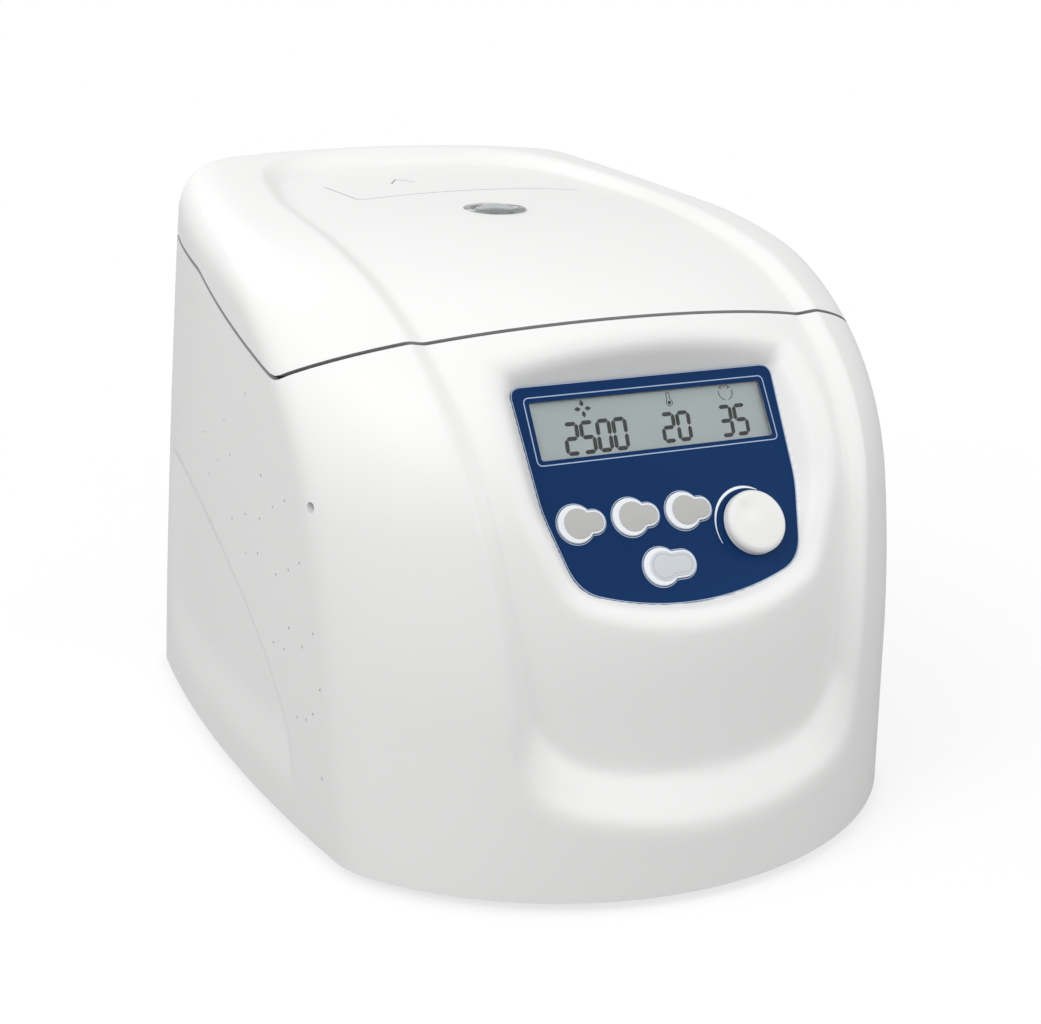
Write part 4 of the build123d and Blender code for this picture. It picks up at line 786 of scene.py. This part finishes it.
    def housing_holes(self, bm: bmesh.types.BMesh) -> None:
        """Rear cut-outs and the release hole in the left wall."""
        for x, z, width, height in ((-62.0, 44.0, 27.6, 32.4), (-18.0, 44.0, 20.0, 28.0)):
            box = bmesh.ops.create_cube(bm, size=1.0)["verts"]
            bmesh.ops.scale(bm, vec=(width, 24, height), verts=box)
            bmesh.ops.translate(bm, vec=(x, 182, z), verts=box)
        fan = bmesh.ops.create_cone(bm, cap_ends=True, segments=96, radius1=38.5, radius2=38.5, depth=24)["verts"]
        bmesh.ops.rotate(bm, cent=(0, 0, 0), matrix=Matrix.Rotation(math.pi / 2, 3, "X"), verts=fan)
        bmesh.ops.translate(bm, vec=(50, 182, 66), verts=fan)
        pin = bmesh.ops.create_cone(bm, cap_ends=True, segments=24, radius1=2.2, radius2=2.2, depth=24)["verts"]
        bmesh.ops.rotate(bm, cent=(0, 0, 0), matrix=Matrix.Rotation(math.pi / 2, 3, "Y"), verts=pin)
        bmesh.ops.translate(bm, vec=(-131, -93, 149.1), verts=pin)
        well = bmesh.new()
        cap(well, self.form.overlay_outline(5.0, 120), -16.0, -2.0)
        well.transform(self.form.panel_frame())
        spare = bpy.data.meshes.new("panel_well")
        well.to_mesh(spare)
        well.free()
        bm.from_mesh(spare)
        for y, z in self.vents:
            hole = bmesh.ops.create_cone(bm, cap_ends=True, segments=12, radius1=0.8, radius2=0.8, depth=24)["verts"]
            bmesh.ops.rotate(bm, cent=(0, 0, 0), matrix=Matrix.Rotation(math.pi / 2, 3, "Y"), verts=hole)
            bmesh.ops.translate(bm, vec=(-134, y, z), verts=hole)

    def lid_holes(self, bm: bmesh.types.BMesh) -> None:
        """The round hole for the sight window."""
        x, y, radius = self.window
        hole = bmesh.ops.create_cone(bm, cap_ends=True, segments=72, radius1=radius, radius2=radius, depth=60)
        bmesh.ops.translate(bm, vec=(x, y, 245), verts=hole["verts"])

    def build(self) -> None:
        """Makes both mouldings and puts them on their bodies."""
        skin = self.skin()
        LOG.info("skin has %d faces", len(skin.faces))
        low = self.part(skin, self.parting.housing_height, above=False)
        housing = self.thicken(low, "housing_moulding", self.cutter("housing_holes", self.housing_holes))
        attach(housing, Body.CASING.value)
        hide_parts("housing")
        high = self.part(skin, self.parting.height, above=True)
        skin.free()
        lid = self.thicken(high, "lid_moulding", self.cutter("lid_holes", self.lid_holes))
        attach(lid, Body.LID.value)
        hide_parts("lid_shell")
        LOG.info("mouldings: %d and %d faces", len(housing.data.polygons), len(lid.data.polygons))


def rounded_box(x: float, y: float, half: tuple[float, float], radius: float, steps: int = 6) -> Outline:
    """Outline of a box with round corners, anticlockwise."""
    outline = []
    for quarter, (right, up) in enumerate(((1, 1), (-1, 1), (-1, -1), (1, -1))):
        for index in range(steps + 1):
            turn = math.pi / 2 * (quarter + index / steps)
            across = x + right * (half[0] - radius) + radius * math.cos(turn)
            outline.append((across, y + up * (half[1] - radius) + radius * math.sin(turn)))
    return outline


def arc(x: float, y: float, radius: float, start: float, end: float, count: int = 24) -> Outline:
    """Points along an arc between two angles in degrees."""
    turns = [math.radians(start + (end - start) * index / count) for index in range(count + 1)]
    return [(x + radius * math.cos(turn), y + radius * math.sin(turn)) for turn in turns]


def key_shape(x: float, y: float, radius: float, reach: float, lobe: float, turn_deg: float = 0.0) -> Outline:
    """Outline of a disc with a narrower round-ended lobe, anticlockwise.

    Args:
        x: Centre of the disc.
        y: Centre of the disc.
        radius: Radius of the disc.
        reach: Distance from the disc's centre to the lobe's tip.
        lobe: Half width of the lobe.
        turn_deg: Direction of the lobe, 0 to the right.

    Returns:
        The outline's points.
    """
    meet = math.degrees(math.asin(lobe / radius))
    flat = arc(0, 0, radius, meet, 360 - meet, 40) + arc(reach - lobe, 0, lobe, -90, 90, 16)
    turn = math.radians(turn_deg)
    cos, sin = math.cos(turn), math.sin(turn)
    return [(x + u * cos - v * sin, y + u * sin + v * cos) for u, v in flat]


def grown(outline: Outline, amount: float) -> Outline:
    """The outline moved outwards by an amount, or inwards where that is negative."""
    moved = []
    for index, (x, y) in enumerate(outline):
        before, after = outline[index - 1], outline[(index + 1) % len(outline)]
        along = Vector((after[0] - before[0], after[1] - before[1])).normalized()
        moved.append((x + amount * along.y, y - amount * along.x))
    return moved


def walls(bm: bmesh.types.BMesh, rings: Sequence[Sequence[bmesh.types.BMVert]]) -> None:
    """Joins each ring of vertices to the next."""
    for ring, after in zip(rings, rings[1:]):
        for index in range(len(ring)):
            step = (index + 1) % len(ring)
            bm.faces.new((ring[index], ring[step], after[step], after[index]))


def cap(bm: bmesh.types.BMesh, outline: Outline, low: float, high: float, soft: float = 0.0) -> None:
    """Adds a closed flat cap over an anticlockwise outline.

    Args:
        bm: The piece.
        outline: The cap's outline.
        low: Height of its underside.
        high: Height of its top.
        soft: Radius of its upper edge.
    """
    rings = [[bm.verts.new((x, y, low)) for x, y in outline]]
    for turn in (0.0, 30.0, 60.0, 90.0) if soft else (90.0,):
        angle = math.radians(turn)
        edge = grown(outline, -soft * (1 - math.cos(angle))) if soft else outline
        level = high - soft + soft * math.sin(angle)
        rings.append([bm.verts.new((x, y, level)) for x, y in edge])
    walls(bm, rings)
    bm.faces.new(rings[0][::-1])
    bm.faces.new(rings[-1])


def band(bm: bmesh.types.BMesh, inner: Outline, outer: Outline, low: float, high: float) -> None:
    """Adds a closed ring between two outlines with as many points."""
    corners = ((outer, low), (outer, high), (inner, high), (inner, low))
    rings = [[bm.verts.new((x, y, level)) for x, y in outline] for outline, level in corners]
    walls(bm, rings + rings[:1])


def spun(bm: bmesh.types.BMesh, profile: Sequence[tuple[float, float]], count: int = 72) -> None:
    """Turns a profile of (radius, height) points round the Z axis; points on the axis close it."""
    rings = []
    for radius, level in profile:
        if radius < 1e-6:
            rings.append([bm.verts.new((0, 0, level))])
        else:
            rings.append([bm.verts.new((x, y, level)) for x, y in arc(0, 0, radius, 0, 360, count)[:-1]])
    for ring, after in zip(rings, rings[1:]):
        if len(ring) > 1 and len(after) > 1:
            walls(bm, (ring, after))
            continue
        for index in range(count):
            step = (index + 1) % count
            if len(ring) == 1:
                bm.faces.new((ring[0], after[step], after[index]))
            else:
                bm.faces.new((ring[index], ring[step], after[0]))


class Stroke(Enum):
    """Strokes of a seven-segment figure, as their ends in a box one unit wide and high."""

    TOP = ((0.0, 1.0), (1.0, 1.0))
    UPPER_RIGHT = ((1.0, 0.5), (1.0, 1.0))
    LOWER_RIGHT = ((1.0, 0.0), (1.0, 0.5))
    BOTTOM = ((0.0, 0.0), (1.0, 0.0))
    LOWER_LEFT = ((0.0, 0.0), (0.0, 0.5))
    UPPER_LEFT = ((0.0, 0.5), (0.0, 1.0))
    MIDDLE = ((0.0, 0.5), (1.0, 0.5))


FIGURES = {
    "0": (Stroke.TOP, Stroke.UPPER_RIGHT, Stroke.LOWER_RIGHT, Stroke.BOTTOM, Stroke.LOWER_LEFT, Stroke.UPPER_LEFT),
    "2": (Stroke.TOP, Stroke.UPPER_RIGHT, Stroke.MIDDLE, Stroke.LOWER_LEFT, Stroke.BOTTOM),
    "3": (Stroke.TOP, Stroke.UPPER_RIGHT, Stroke.MIDDLE, Stroke.LOWER_RIGHT, Stroke.BOTTOM),
    "5": (Stroke.TOP, Stroke.UPPER_LEFT, Stroke.MIDDLE, Stroke.LOWER_RIGHT, Stroke.BOTTOM),
}


@dataclass(frozen=True)
class Figures:
    """A number on the display.

    Attributes:
        text: Its figures.
        left: Left edge on the panel plane.
        foot: Lower edge.
        pitch: Distance from one figure to the next.
        width: Width of a figure between its stroke centres.
        height: Height of a figure between its stroke centres.
    """

    text: str
    left: float
    foot: float
    pitch: float
    width: float
    height: float


@dataclass
class Panel:
    """Printing, display, keys and dial of the tilted control panel."""

    form: CasingForm = field(default_factory=CasingForm)
    ink: float = 0.08
    # Inset range of the painted highlight strip just inside the overlay's edge
    edge_highlight: tuple[float, float] = (0.0, 0.3)
    frame_half: tuple[float, float] = (53.5, 13.75)
    frame_width: float = 0.4
    cell_top: float = -2.4
    stroke: float = 1.65
    slant_deg: float = 5.0
    numbers: tuple[Figures, ...] = (
        Figures("2500", -38.8, -23.3, 7.0, 5.0, 11.8),
        Figures("20", 3.8, -22.6, 6.9, 4.9, 11.0),
        Figures("35", 30.0, -22.9, 7.0, 5.0, 11.8),
    )
    keys: tuple[tuple[Body, float, float, float, float], ...] = (
        (Body.KEY_PROGRAM, -43.7, -51.2, 12.2, 4.6),
        (Body.KEY_LID, -20.5, -51.2, 12.2, 4.6),
        (Body.KEY_SELECT, 2.6, -51.4, 12.2, 4.6),
        (Body.KEY_START, -12.5, -71.9, 14.8, 5.4),
    )
    key_radius: float = 7.5
    key_proud: float = 0.9
    cap_proud: float = 1.25
    dial: tuple[float, float] = (31.5, -60.2)
    dial_radius: float = 12.8
    dial_top: float = 5.9
    dial_soft: float = 2.6
    dimple: tuple[float, float, float, float] = (-3.4, 4.6, 6.2, 1.1)

    def placed(self, bm: bmesh.types.BMesh, name: str, finish: Finish, body: Body, sharp_deg: float = 35.0) -> bpy.types.Object:
        """Moves shapes drawn on the panel plane to their place and puts them on a body."""
        bm.transform(self.form.panel_frame())
        made = finished(bm, name, finish, sharp_deg)
        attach(made, body.value)
        return made

    def printing(self) -> None:
        """Pale printed lines round the display and the keys, and a painted highlight along the overlay's edge, all in
        one pale ink.
        """
        bm = bmesh.new()
        low, high = -0.02, self.ink
        # Painted highlight: a thin pale strip just inside the overlay's edge stands in for light caught by the film's
        # cut edge
        inset, inner = self.edge_highlight
        band(bm, self.form.overlay_outline(inner), self.form.overlay_outline(inset), low, high)
        width, height = self.frame_half
        frame = rounded_box(0.0, -height, (width, height), 2.2)
        band(bm, grown(frame, -self.frame_width), frame, low, high)
        for _, x, down, reach, lobe in self.keys:
            outline = key_shape(x, down, self.key_radius, reach, lobe)
            band(bm, grown(outline, 0.35), grown(outline, 0.65), low, high)
        self.placed(bm, "overlay_lines_and_edge_highlight", PALE_INK_AND_HIGHLIGHT, Body.CASING)
        border = bmesh.new()
        band(
            border,
            rounded_box(0.0, -13.8, (51.3, 11.7), 1.0),
            rounded_box(0.0, -13.8, (52.2, 12.5), 1.0),
            -0.18,
            -0.03,
        )
        self.placed(border, "display_border", BLUE_FILM, Body.CASING)

    def sickle(self) -> None:
        """The white sickle that hugs the dial's upper left."""
        bm = bmesh.new()
        x, y = self.dial
        start, end, radius, spread, widest, count = 66.0, 202.0, 14.6, 1.7, 0.5, 40
        outer, inner = [], []
        for index in range(count + 1):
            share = index / count
            turn = math.radians(start + (end - start) * share)
            half = 0.1 + widest * math.sin(math.pi * share**0.7) ** 1.2
            middle = radius + spread * math.sin(math.pi / 2 * share)
            outer.append((x + (middle + half) * math.cos(turn), y + (middle + half) * math.sin(turn)))
            inner.append((x + (middle - half) * math.cos(turn), y + (middle - half) * math.sin(turn)))
        cap(bm, outer + inner[::-1], -0.02, self.ink)
        self.placed(bm, "dial_sickle", WHITE_INK, Body.CASING)

    def figure(self, bm: bmesh.types.BMesh, sign: str, x: float, foot: float, size: tuple[float, float]) -> None:
        """Adds one seven-segment figure."""
        lean = math.tan(math.radians(self.slant_deg))
        half, gap = self.stroke / 2, 0.12
        for stroke in FIGURES[sign]:
            ends = [Vector((u * size[0], v * size[1])) for u, v in stroke.value]
            along = (ends[1] - ends[0]).normalized()
            side = Vector((-along.y, along.x)) * half
            tip, shoulder = along * gap, along * (gap + half)
            points = (
                ends[0] + tip,
                ends[0] + shoulder - side,
                ends[1] - shoulder - side,
                ends[1] - tip,
                ends[1] - shoulder + side,
                ends[0] + shoulder + side,
            )
            outline = [(x + p.x + lean * p.y, foot + p.y) for p in points]
            cap(bm, outline, self.cell_top - 0.02, self.cell_top + self.ink)

    def display(self) -> None:
        """Numbers and bare pictograms on the display cell."""
        bm = bmesh.new()
        for number in self.numbers:
            for index, sign in enumerate(number.text):
                left = number.left + index * number.pitch
                self.figure(bm, sign, left, number.foot, (number.width, number.height))
        low, high = self.cell_top - 0.02, self.cell_top + self.ink
        arrow = ((1.1, -0.3), (2.2, -0.95), (3.7, 0.0), (2.2, 0.95), (1.1, 0.3))
        for quarter in range(4):
            cos, sin = math.cos(quarter * math.pi / 2), math.sin(quarter * math.pi / 2)
            cap(bm, [(-28.4 + u * cos - v * sin, -5.9 + u * sin + v * cos) for u, v in arrow], low, high)
        bulb = key_shape(9.7, -7.0, 1.5, 4.4, 0.85, 90.0)
        band(bm, grown(bulb, -0.3), bulb, low, high)
        cap(bm, arc(9.7, -7.0, 0.75, 0, 345, 23), low, high)
        for start, end in ((35, 80), (100, 145), (165, 255), (285, 375)):
            ring = arc(35.9, -5.2, 3.3, start, end) + arc(35.9, -5.2, 2.95, end, start)
            cap(bm, ring, low, high)
        for turn in (50, 90, 130):
            tick = arc(35.9, -5.2, 2.8, turn - 4, turn + 4, 2) + arc(35.9, -5.2, 2.0, turn + 4, turn - 4, 2)
            cap(bm, tick, low, high)
        self.placed(bm, "display_figures", SEGMENT, Body.CASING)

    def key_caps(self) -> None:
        """Grey caps on the white keys, with the paler one on the start key."""
        for body, x, down, reach, lobe in self.keys:
            bm = bmesh.new()
            start = body is Body.KEY_START
            outline = key_shape(x + 0.9, down, self.key_radius - 1.6, reach - 1.6, lobe - 0.8)
            cap(bm, outline, self.key_proud - 0.3, self.cap_proud, 0.25)
            finish = KEY_PALE if start else KEY_GREY
            made = self.placed(bm, f"{body.value}_cap", finish, body)
            if start:
                rim = bmesh.new()
                line = grown(outline, -1.0)
                band(rim, grown(line, -0.3), line, self.cap_proud - 0.05, self.cap_proud + 0.04)
                self.placed(rim, "key_start_line", KEY_GREY, body)

    def dial_knob(self) -> None:
        """The dial: a low dome with a finger dimple near its upper left edge."""
        bm = bmesh.new()
        radius, soft, top = self.dial_radius, self.dial_soft, self.dial_top
        profile = [(0.0, 0.3), (radius - 0.3, 0.3), (radius, 0.6), (radius, top - 0.5 - soft)]
        for index in range(1, 9):
            turn = math.pi / 2 * index / 8
            profile.append((radius - soft + soft * math.cos(turn), top - 0.5 - soft + soft * math.sin(turn)))
        for index in range(1, 15):
            share = index / 14
            profile.append(((radius - soft) * (1 - share), top - 0.5 * (1 - share) ** 2))
        spun(bm, profile, 96)
        across, up, wide, deep = self.dimple
        for vert in bm.verts:
            if vert.co.z > top - soft:
                off = math.hypot(vert.co.x - across, vert.co.y - up) / wide
                vert.co.z -= deep * max(0.0, 1 - off * off) ** 2
        bmesh.ops.translate(bm, vec=(*self.dial, 0), verts=bm.verts)
        made = self.placed(bm, "dial_knob", DIAL_WHITE, Body.DIAL)
        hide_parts("dial")

    def build(self) -> None:
        """Makes everything on the panel."""
        self.printing()
        self.sickle()
        self.display()
        self.key_caps()
        self.dial_knob()


@dataclass
class RockerMarks:
    """A plain bar and ring on the two halves of the power rocker."""

    pivot: tuple[float, float, float] = (-18.0, 176.0, 44.0)
    tilt_deg: float = 9.0
    face_lean_deg: float = 3.94
    face_out: float = 3.0
    mark_up: float = 6.0

    def face(self, side: int) -> Matrix:
        """Frame of the upper (1) or lower (-1) half's face, with its axes right, up and out as seen from behind."""
        tilt = math.radians(self.tilt_deg)
        lean = -math.radians(side * self.face_lean_deg) - tilt
        out, up = self.face_out, side * self.mark_up
        place = Vector(self.pivot) + Vector(
            (0, out * math.cos(tilt) + up * math.sin(tilt), up * math.cos(tilt) - out * math.sin(tilt))
        )
        normal = Vector((0, math.cos(lean), math.sin(lean)))
        right = Vector((-1, 0, 0))
        turn = Matrix((right, normal.cross(right), normal)).transposed().to_4x4()
        return Matrix.Translation(place) @ turn

    def build(self) -> None:
        """Makes both marks."""
        low, high = -0.05, 0.08
        bar = bmesh.new()
        cap(bar, rounded_box(0, 0, (0.5, 2.4), 0.2), low, high)
        bar.transform(self.face(1))
        ring = bmesh.new()
        band(ring, arc(0, 0, 1.5, 0, 360, 36)[:-1], arc(0, 0, 2.3, 0, 360, 36)[:-1], low, high)
        ring.transform(self.face(-1))
        for name, bm in (("rocker_bar", bar), ("rocker_ring", ring)):
            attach(finished(bm, name, WHITE_INK), Body.ROCKER.value)


@dataclass
class LidMarks:
    """The sight window, the label's edge and the opening arrow on the lid."""

    form: CasingForm = field(default_factory=CasingForm)
    window: tuple[float, float] = (0.0, 26.6)
    ring_radius: float = 14.4
    glass_radius: float = 11.2
    line_width: float = 0.55

    def level(self, places: Outline) -> list[float]:
        """Heights of the lid's surface at places given from above."""
        flat = np.array(places)
        low, high = np.full(len(flat), 180.0), np.full(len(flat), 300.0)
        for _ in range(26):
            middle = (low + high) / 2
            out = self.form.distance(np.column_stack((flat, middle))) > 0
            high, low = np.where(out, middle, high), np.where(out, low, middle)
        return [float(z) for z in high]

    def strip(self, bm: bmesh.types.BMesh, path: Outline, width: float) -> None:
        """Adds a thin printed strip that follows the surface under a path."""
        rings = []
        for index, (x, y) in enumerate(path):
            before, after = path[max(index - 1, 0)], path[min(index + 1, len(path) - 1)]
            along = Vector((after[0] - before[0], after[1] - before[1])).normalized() * width / 2
            sides = [(x + along.y, y - along.x), (x - along.y, y + along.x)]
            first, second = self.level(sides)
            places = (
                (*sides[0], first - 0.2),
                (*sides[0], first + 0.06),
                (*sides[1], second + 0.06),
                (*sides[1], second - 0.2),
            )
            rings.append([bm.verts.new(place) for place in places])
        walls(bm, rings)
        bm.faces.new(rings[0])
        bm.faces.new(rings[-1][::-1])

    def marks(self) -> None:
        """The label's left and front edges, with an arrow to the rear."""
        bm = bmesh.new()
        crest_x, crest_y, left_fall, right_fall = 33.0, 72.9, 0.00128, 0.0046
        front = []
        for index in range(41):
            x = -47.5 + 111.5 * index / 40
            fall = left_fall if x < crest_x else right_fall
            front.append((x, crest_y - fall * (x - crest_x) ** 2))
        side = [(-56.8 + 4.1 * index / 12, 100.0 - 32.5 * index / 12) for index in range(13)]
        corner = [(-52.3, 65.7), (-51.4, 64.6), (-49.9, 64.3)]
        self.strip(bm, side + corner + front, self.line_width)
        self.strip(bm, [(-23.5, 97.0), (-20.6, 102.0), (-17.4, 107.6)], 0.9)
        self.strip(bm, [(-17.4, 107.6), (-14.0, 103.4), (-10.4, 99.0)], 0.6)
        bmesh.ops.recalc_face_normals(bm, faces=bm.faces)
        made = finished(bm, "label_edge", GREY_INK)
        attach(made, Body.LID.value)

    def sight_ring(self, base: float) -> None:
        """A pale trim ring with a domed clear window in it."""
        x, y = self.window
        outer, inner = self.ring_radius, self.glass_radius
        ring = bmesh.new()
        profile = [(inner, base - 1.2), (outer, base - 1.2), (outer, base + 0.4), (outer - 0.6, base + 1.2)]
        profile += [(outer - 1.4, base + 1.5), (inner + 0.6, base + 1.2), (inner, base + 0.5), (inner, base - 1.2)]
        spun(ring, profile, 96)
        bmesh.ops.recalc_face_normals(ring, faces=ring.faces)
        bmesh.ops.translate(ring, vec=(x, y, 0), verts=ring.verts)
        made = finished(ring, "window_ring", BEZEL)
        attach(made, Body.LID.value)
        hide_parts("window_bezel")
        seal = bmesh.new()
        spun(seal, [(8.2, base - 2.4), (inner - 0.2, base - 2.4), (inner - 0.2, base - 1.8), (8.2, base - 1.8), (8.2, base - 2.4)])
        bmesh.ops.recalc_face_normals(seal, faces=seal.faces)
        bmesh.ops.translate(seal, vec=(x, y, 0), verts=seal.verts)
        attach(finished(seal, "window_seal", RUBBER), Body.LID.value)
        glass = bmesh.new()
        rise, wide, thick, steps = 3.0, inner - 0.1, 1.6, 12
        dome = [(wide * i / steps, base + rise * (1 - (i / steps) ** 2)) for i in range(steps + 1)]
        under = [(r, z - thick) for r, z in dome]
        spun(glass, under + dome[::-1], 96)
        bmesh.ops.recalc_face_normals(glass, faces=glass.faces)
        bmesh.ops.translate(glass, vec=(x, y, 0), verts=glass.verts)
        made = finished(glass, "window_dome", SMOKED)
        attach(made, Body.LID.value)
        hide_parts("sight_window")

    def build(self, nodes: dict[str, bpy.types.Object]) -> None:
        """Makes the lid's marks and its window.

        Args:
            nodes: The CAD nodes, of which the bezel gives the window's height.
        """
        self.marks()
        bezel = nodes["window_bezel"]
        top = max((bezel.matrix_world @ v.co).z for v in bezel.data.vertices) / MM
        self.sight_ring(top - 0.4)


@dataclass
class Studio:
    """Floor, lamps and camera at the photograph's angle."""

    camera_place: tuple[float, float, float] = (-313.9, -669.6, 319.1)
    camera_target: tuple[float, float, float] = (-18.33, -39.91, 120.0)
    lens: float = 57.09
    floor_half: float = 12.0

    def build(self) -> None:
        """Makes the whole surround."""
        self.camera()
        self.floor()
        self.lamps()
        self.sky()

    def camera(self) -> None:
        """The camera that matches the photograph."""
        data = bpy.data.cameras.new("camera")
        data.lens = self.lens
        data.sensor_width = 36.0
        made = bpy.data.objects.new("camera", data)
        made.location = Vector(self.camera_place) * MM
        look = Vector(self.camera_target) - Vector(self.camera_place)
        made.rotation_euler = look.to_track_quat("-Z", "Y").to_euler()
        bpy.context.scene.collection.objects.link(made)
        bpy.context.scene.camera = made

    def floor(self) -> None:
        """A wide white table that keeps the object's soft shadow."""
        bm = bmesh.new()
        bmesh.ops.create_grid(bm, x_segments=2, y_segments=2, size=self.floor_half / MM)
        made = finished(bm, "floor", WHITE_ABS)
        paint = bpy.data.materials.new("white_table")
        paint.use_nodes = True
        tree = paint.node_tree
        tree.nodes.clear()
        camera_ray = add_node(tree, "ShaderNodeLightPath").outputs["Is Camera Ray"]
        tone = add_node(
            tree,
            "ShaderNodeMix",
            {"data_type": "RGBA", 6: linear("#8a8a8a"), 7: linear("#ffffff")},
            {0: camera_ray},
        )
        diffuse = add_node(tree, "ShaderNodeBsdfDiffuse", links={"Color": tone.outputs[2]})
        glow = add_node(tree, "ShaderNodeEmission", {"Color": (1, 1, 1, 1), "Strength": 1.0})
        place = add_node(tree, "ShaderNodeTexCoord").outputs["Object"]
        reach = add_node(tree, "ShaderNodeVectorMath", {"operation": "LENGTH"}, {0: place})
        paleness = add_node(
            tree,
            "ShaderNodeMapRange",
            {"From Min": 0.15, "From Max": 0.75, "To Min": 0.72, "To Max": 1.0},
            {"Value": reach.outputs["Value"]},
        )
        share = add_node(
            tree, "ShaderNodeMath", {"operation": "MULTIPLY"}, {0: camera_ray, 1: paleness.outputs["Result"]}
        )
        blend = add_node(
            tree,
            "ShaderNodeMixShader",
            links={0: share.outputs[0], 1: diffuse.outputs[0], 2: glow.outputs[0]},
        )
        add_node(tree, "ShaderNodeOutputMaterial", links={"Surface": blend.outputs[0]})
        made.data.materials.clear()
        made.data.materials.append(paint)
        made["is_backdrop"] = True

    def lamp(self, name: str, place: Sequence[float], size: float, power: float) -> None:
        """One square lamp, in metres and watts, that faces the object."""
        data = bpy.data.lights.new(name, "AREA")
        data.shape = "SQUARE"
        data.size = size
        data.energy = power
        made = bpy.data.objects.new(name, data)
        made.location = place
        aim = Vector((0, 0, 0.12)) - Vector(place)
        made.rotation_euler = aim.to_track_quat("-Z", "Y").to_euler()
        bpy.context.scene.collection.objects.link(made)

    def lamps(self) -> None:
        """Soft boxes: one high at the left, weak ones at the right and behind."""
        self.lamp("key_lamp", (-2.0, -0.7, 1.9), 1.6, 28.0)
        self.lamp("right_lamp", (1.9, -0.9, 0.9), 1.2, 8.0)
        self.lamp("front_lamp", (0.3, -2.2, 0.9), 1.4, 9.5)
        self.lamp("left_lamp", (-2.6, 0.5, 1.0), 1.2, 6.0)
        self.lamp("rear_lamp", (-0.8, 1.8, 1.5), 1.4, 7.0)

    def sky(self) -> None:
        """Plain white surround, dimmer as a light than as a backdrop."""
        world = bpy.data.worlds.new("surround")
        bpy.context.scene.world = world
        world.use_nodes = True
        tree = world.node_tree
        tree.nodes.clear()
        path = add_node(tree, "ShaderNodeLightPath")
        seen = add_node(
            tree,
            "ShaderNodeMath",
            {"operation": "MAXIMUM"},
            {0: path.outputs["Is Camera Ray"], 1: path.outputs["Is Transmission Ray"]},
        )
        strength = add_node(
            tree, "ShaderNodeMapRange", {"To Min": 0.64, "To Max": 1.0}, {"Value": seen.outputs[0]}
        )
        light = add_node(
            tree, "ShaderNodeBackground", {"Color": (1, 1, 1, 1)}, {"Strength": strength.outputs["Result"]}
        )
        add_node(tree, "ShaderNodeOutputWorld", links={"Surface": light.outputs[0]})


def dress_nodes(nodes: dict[str, bpy.types.Object]) -> None:
    """Gives each CAD node that stays in view its finish."""
    for name, finish in NODE_FINISHES.items():
        mesh = nodes[name].data
        mesh.materials.clear()
        mesh.materials.append(finish.build())


def main() -> None:
    """Loads the frame, builds the looks and reports each part."""
    logging.basicConfig(level=logging.INFO, format="%(name)s: %(message)s")
    bpy.ops.wm.read_factory_settings(use_empty=True)
    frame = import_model()
    cad_box = [c.copy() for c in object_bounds()]
    bpy.context.scene.view_settings.view_transform = "Standard"
    Studio().build()
    LOG.info("studio ready")
    dress_nodes(frame["nodes"])
    Shells().build()
    LOG.info("mouldings ready")
    Panel().build()
    LOG.info("panel ready")
    LidMarks().build(frame["nodes"])
    LOG.info("lid marks ready")
    RockerMarks().build()
    LOG.info("rocker marks ready")


if __name__ == "__main__":
    main()
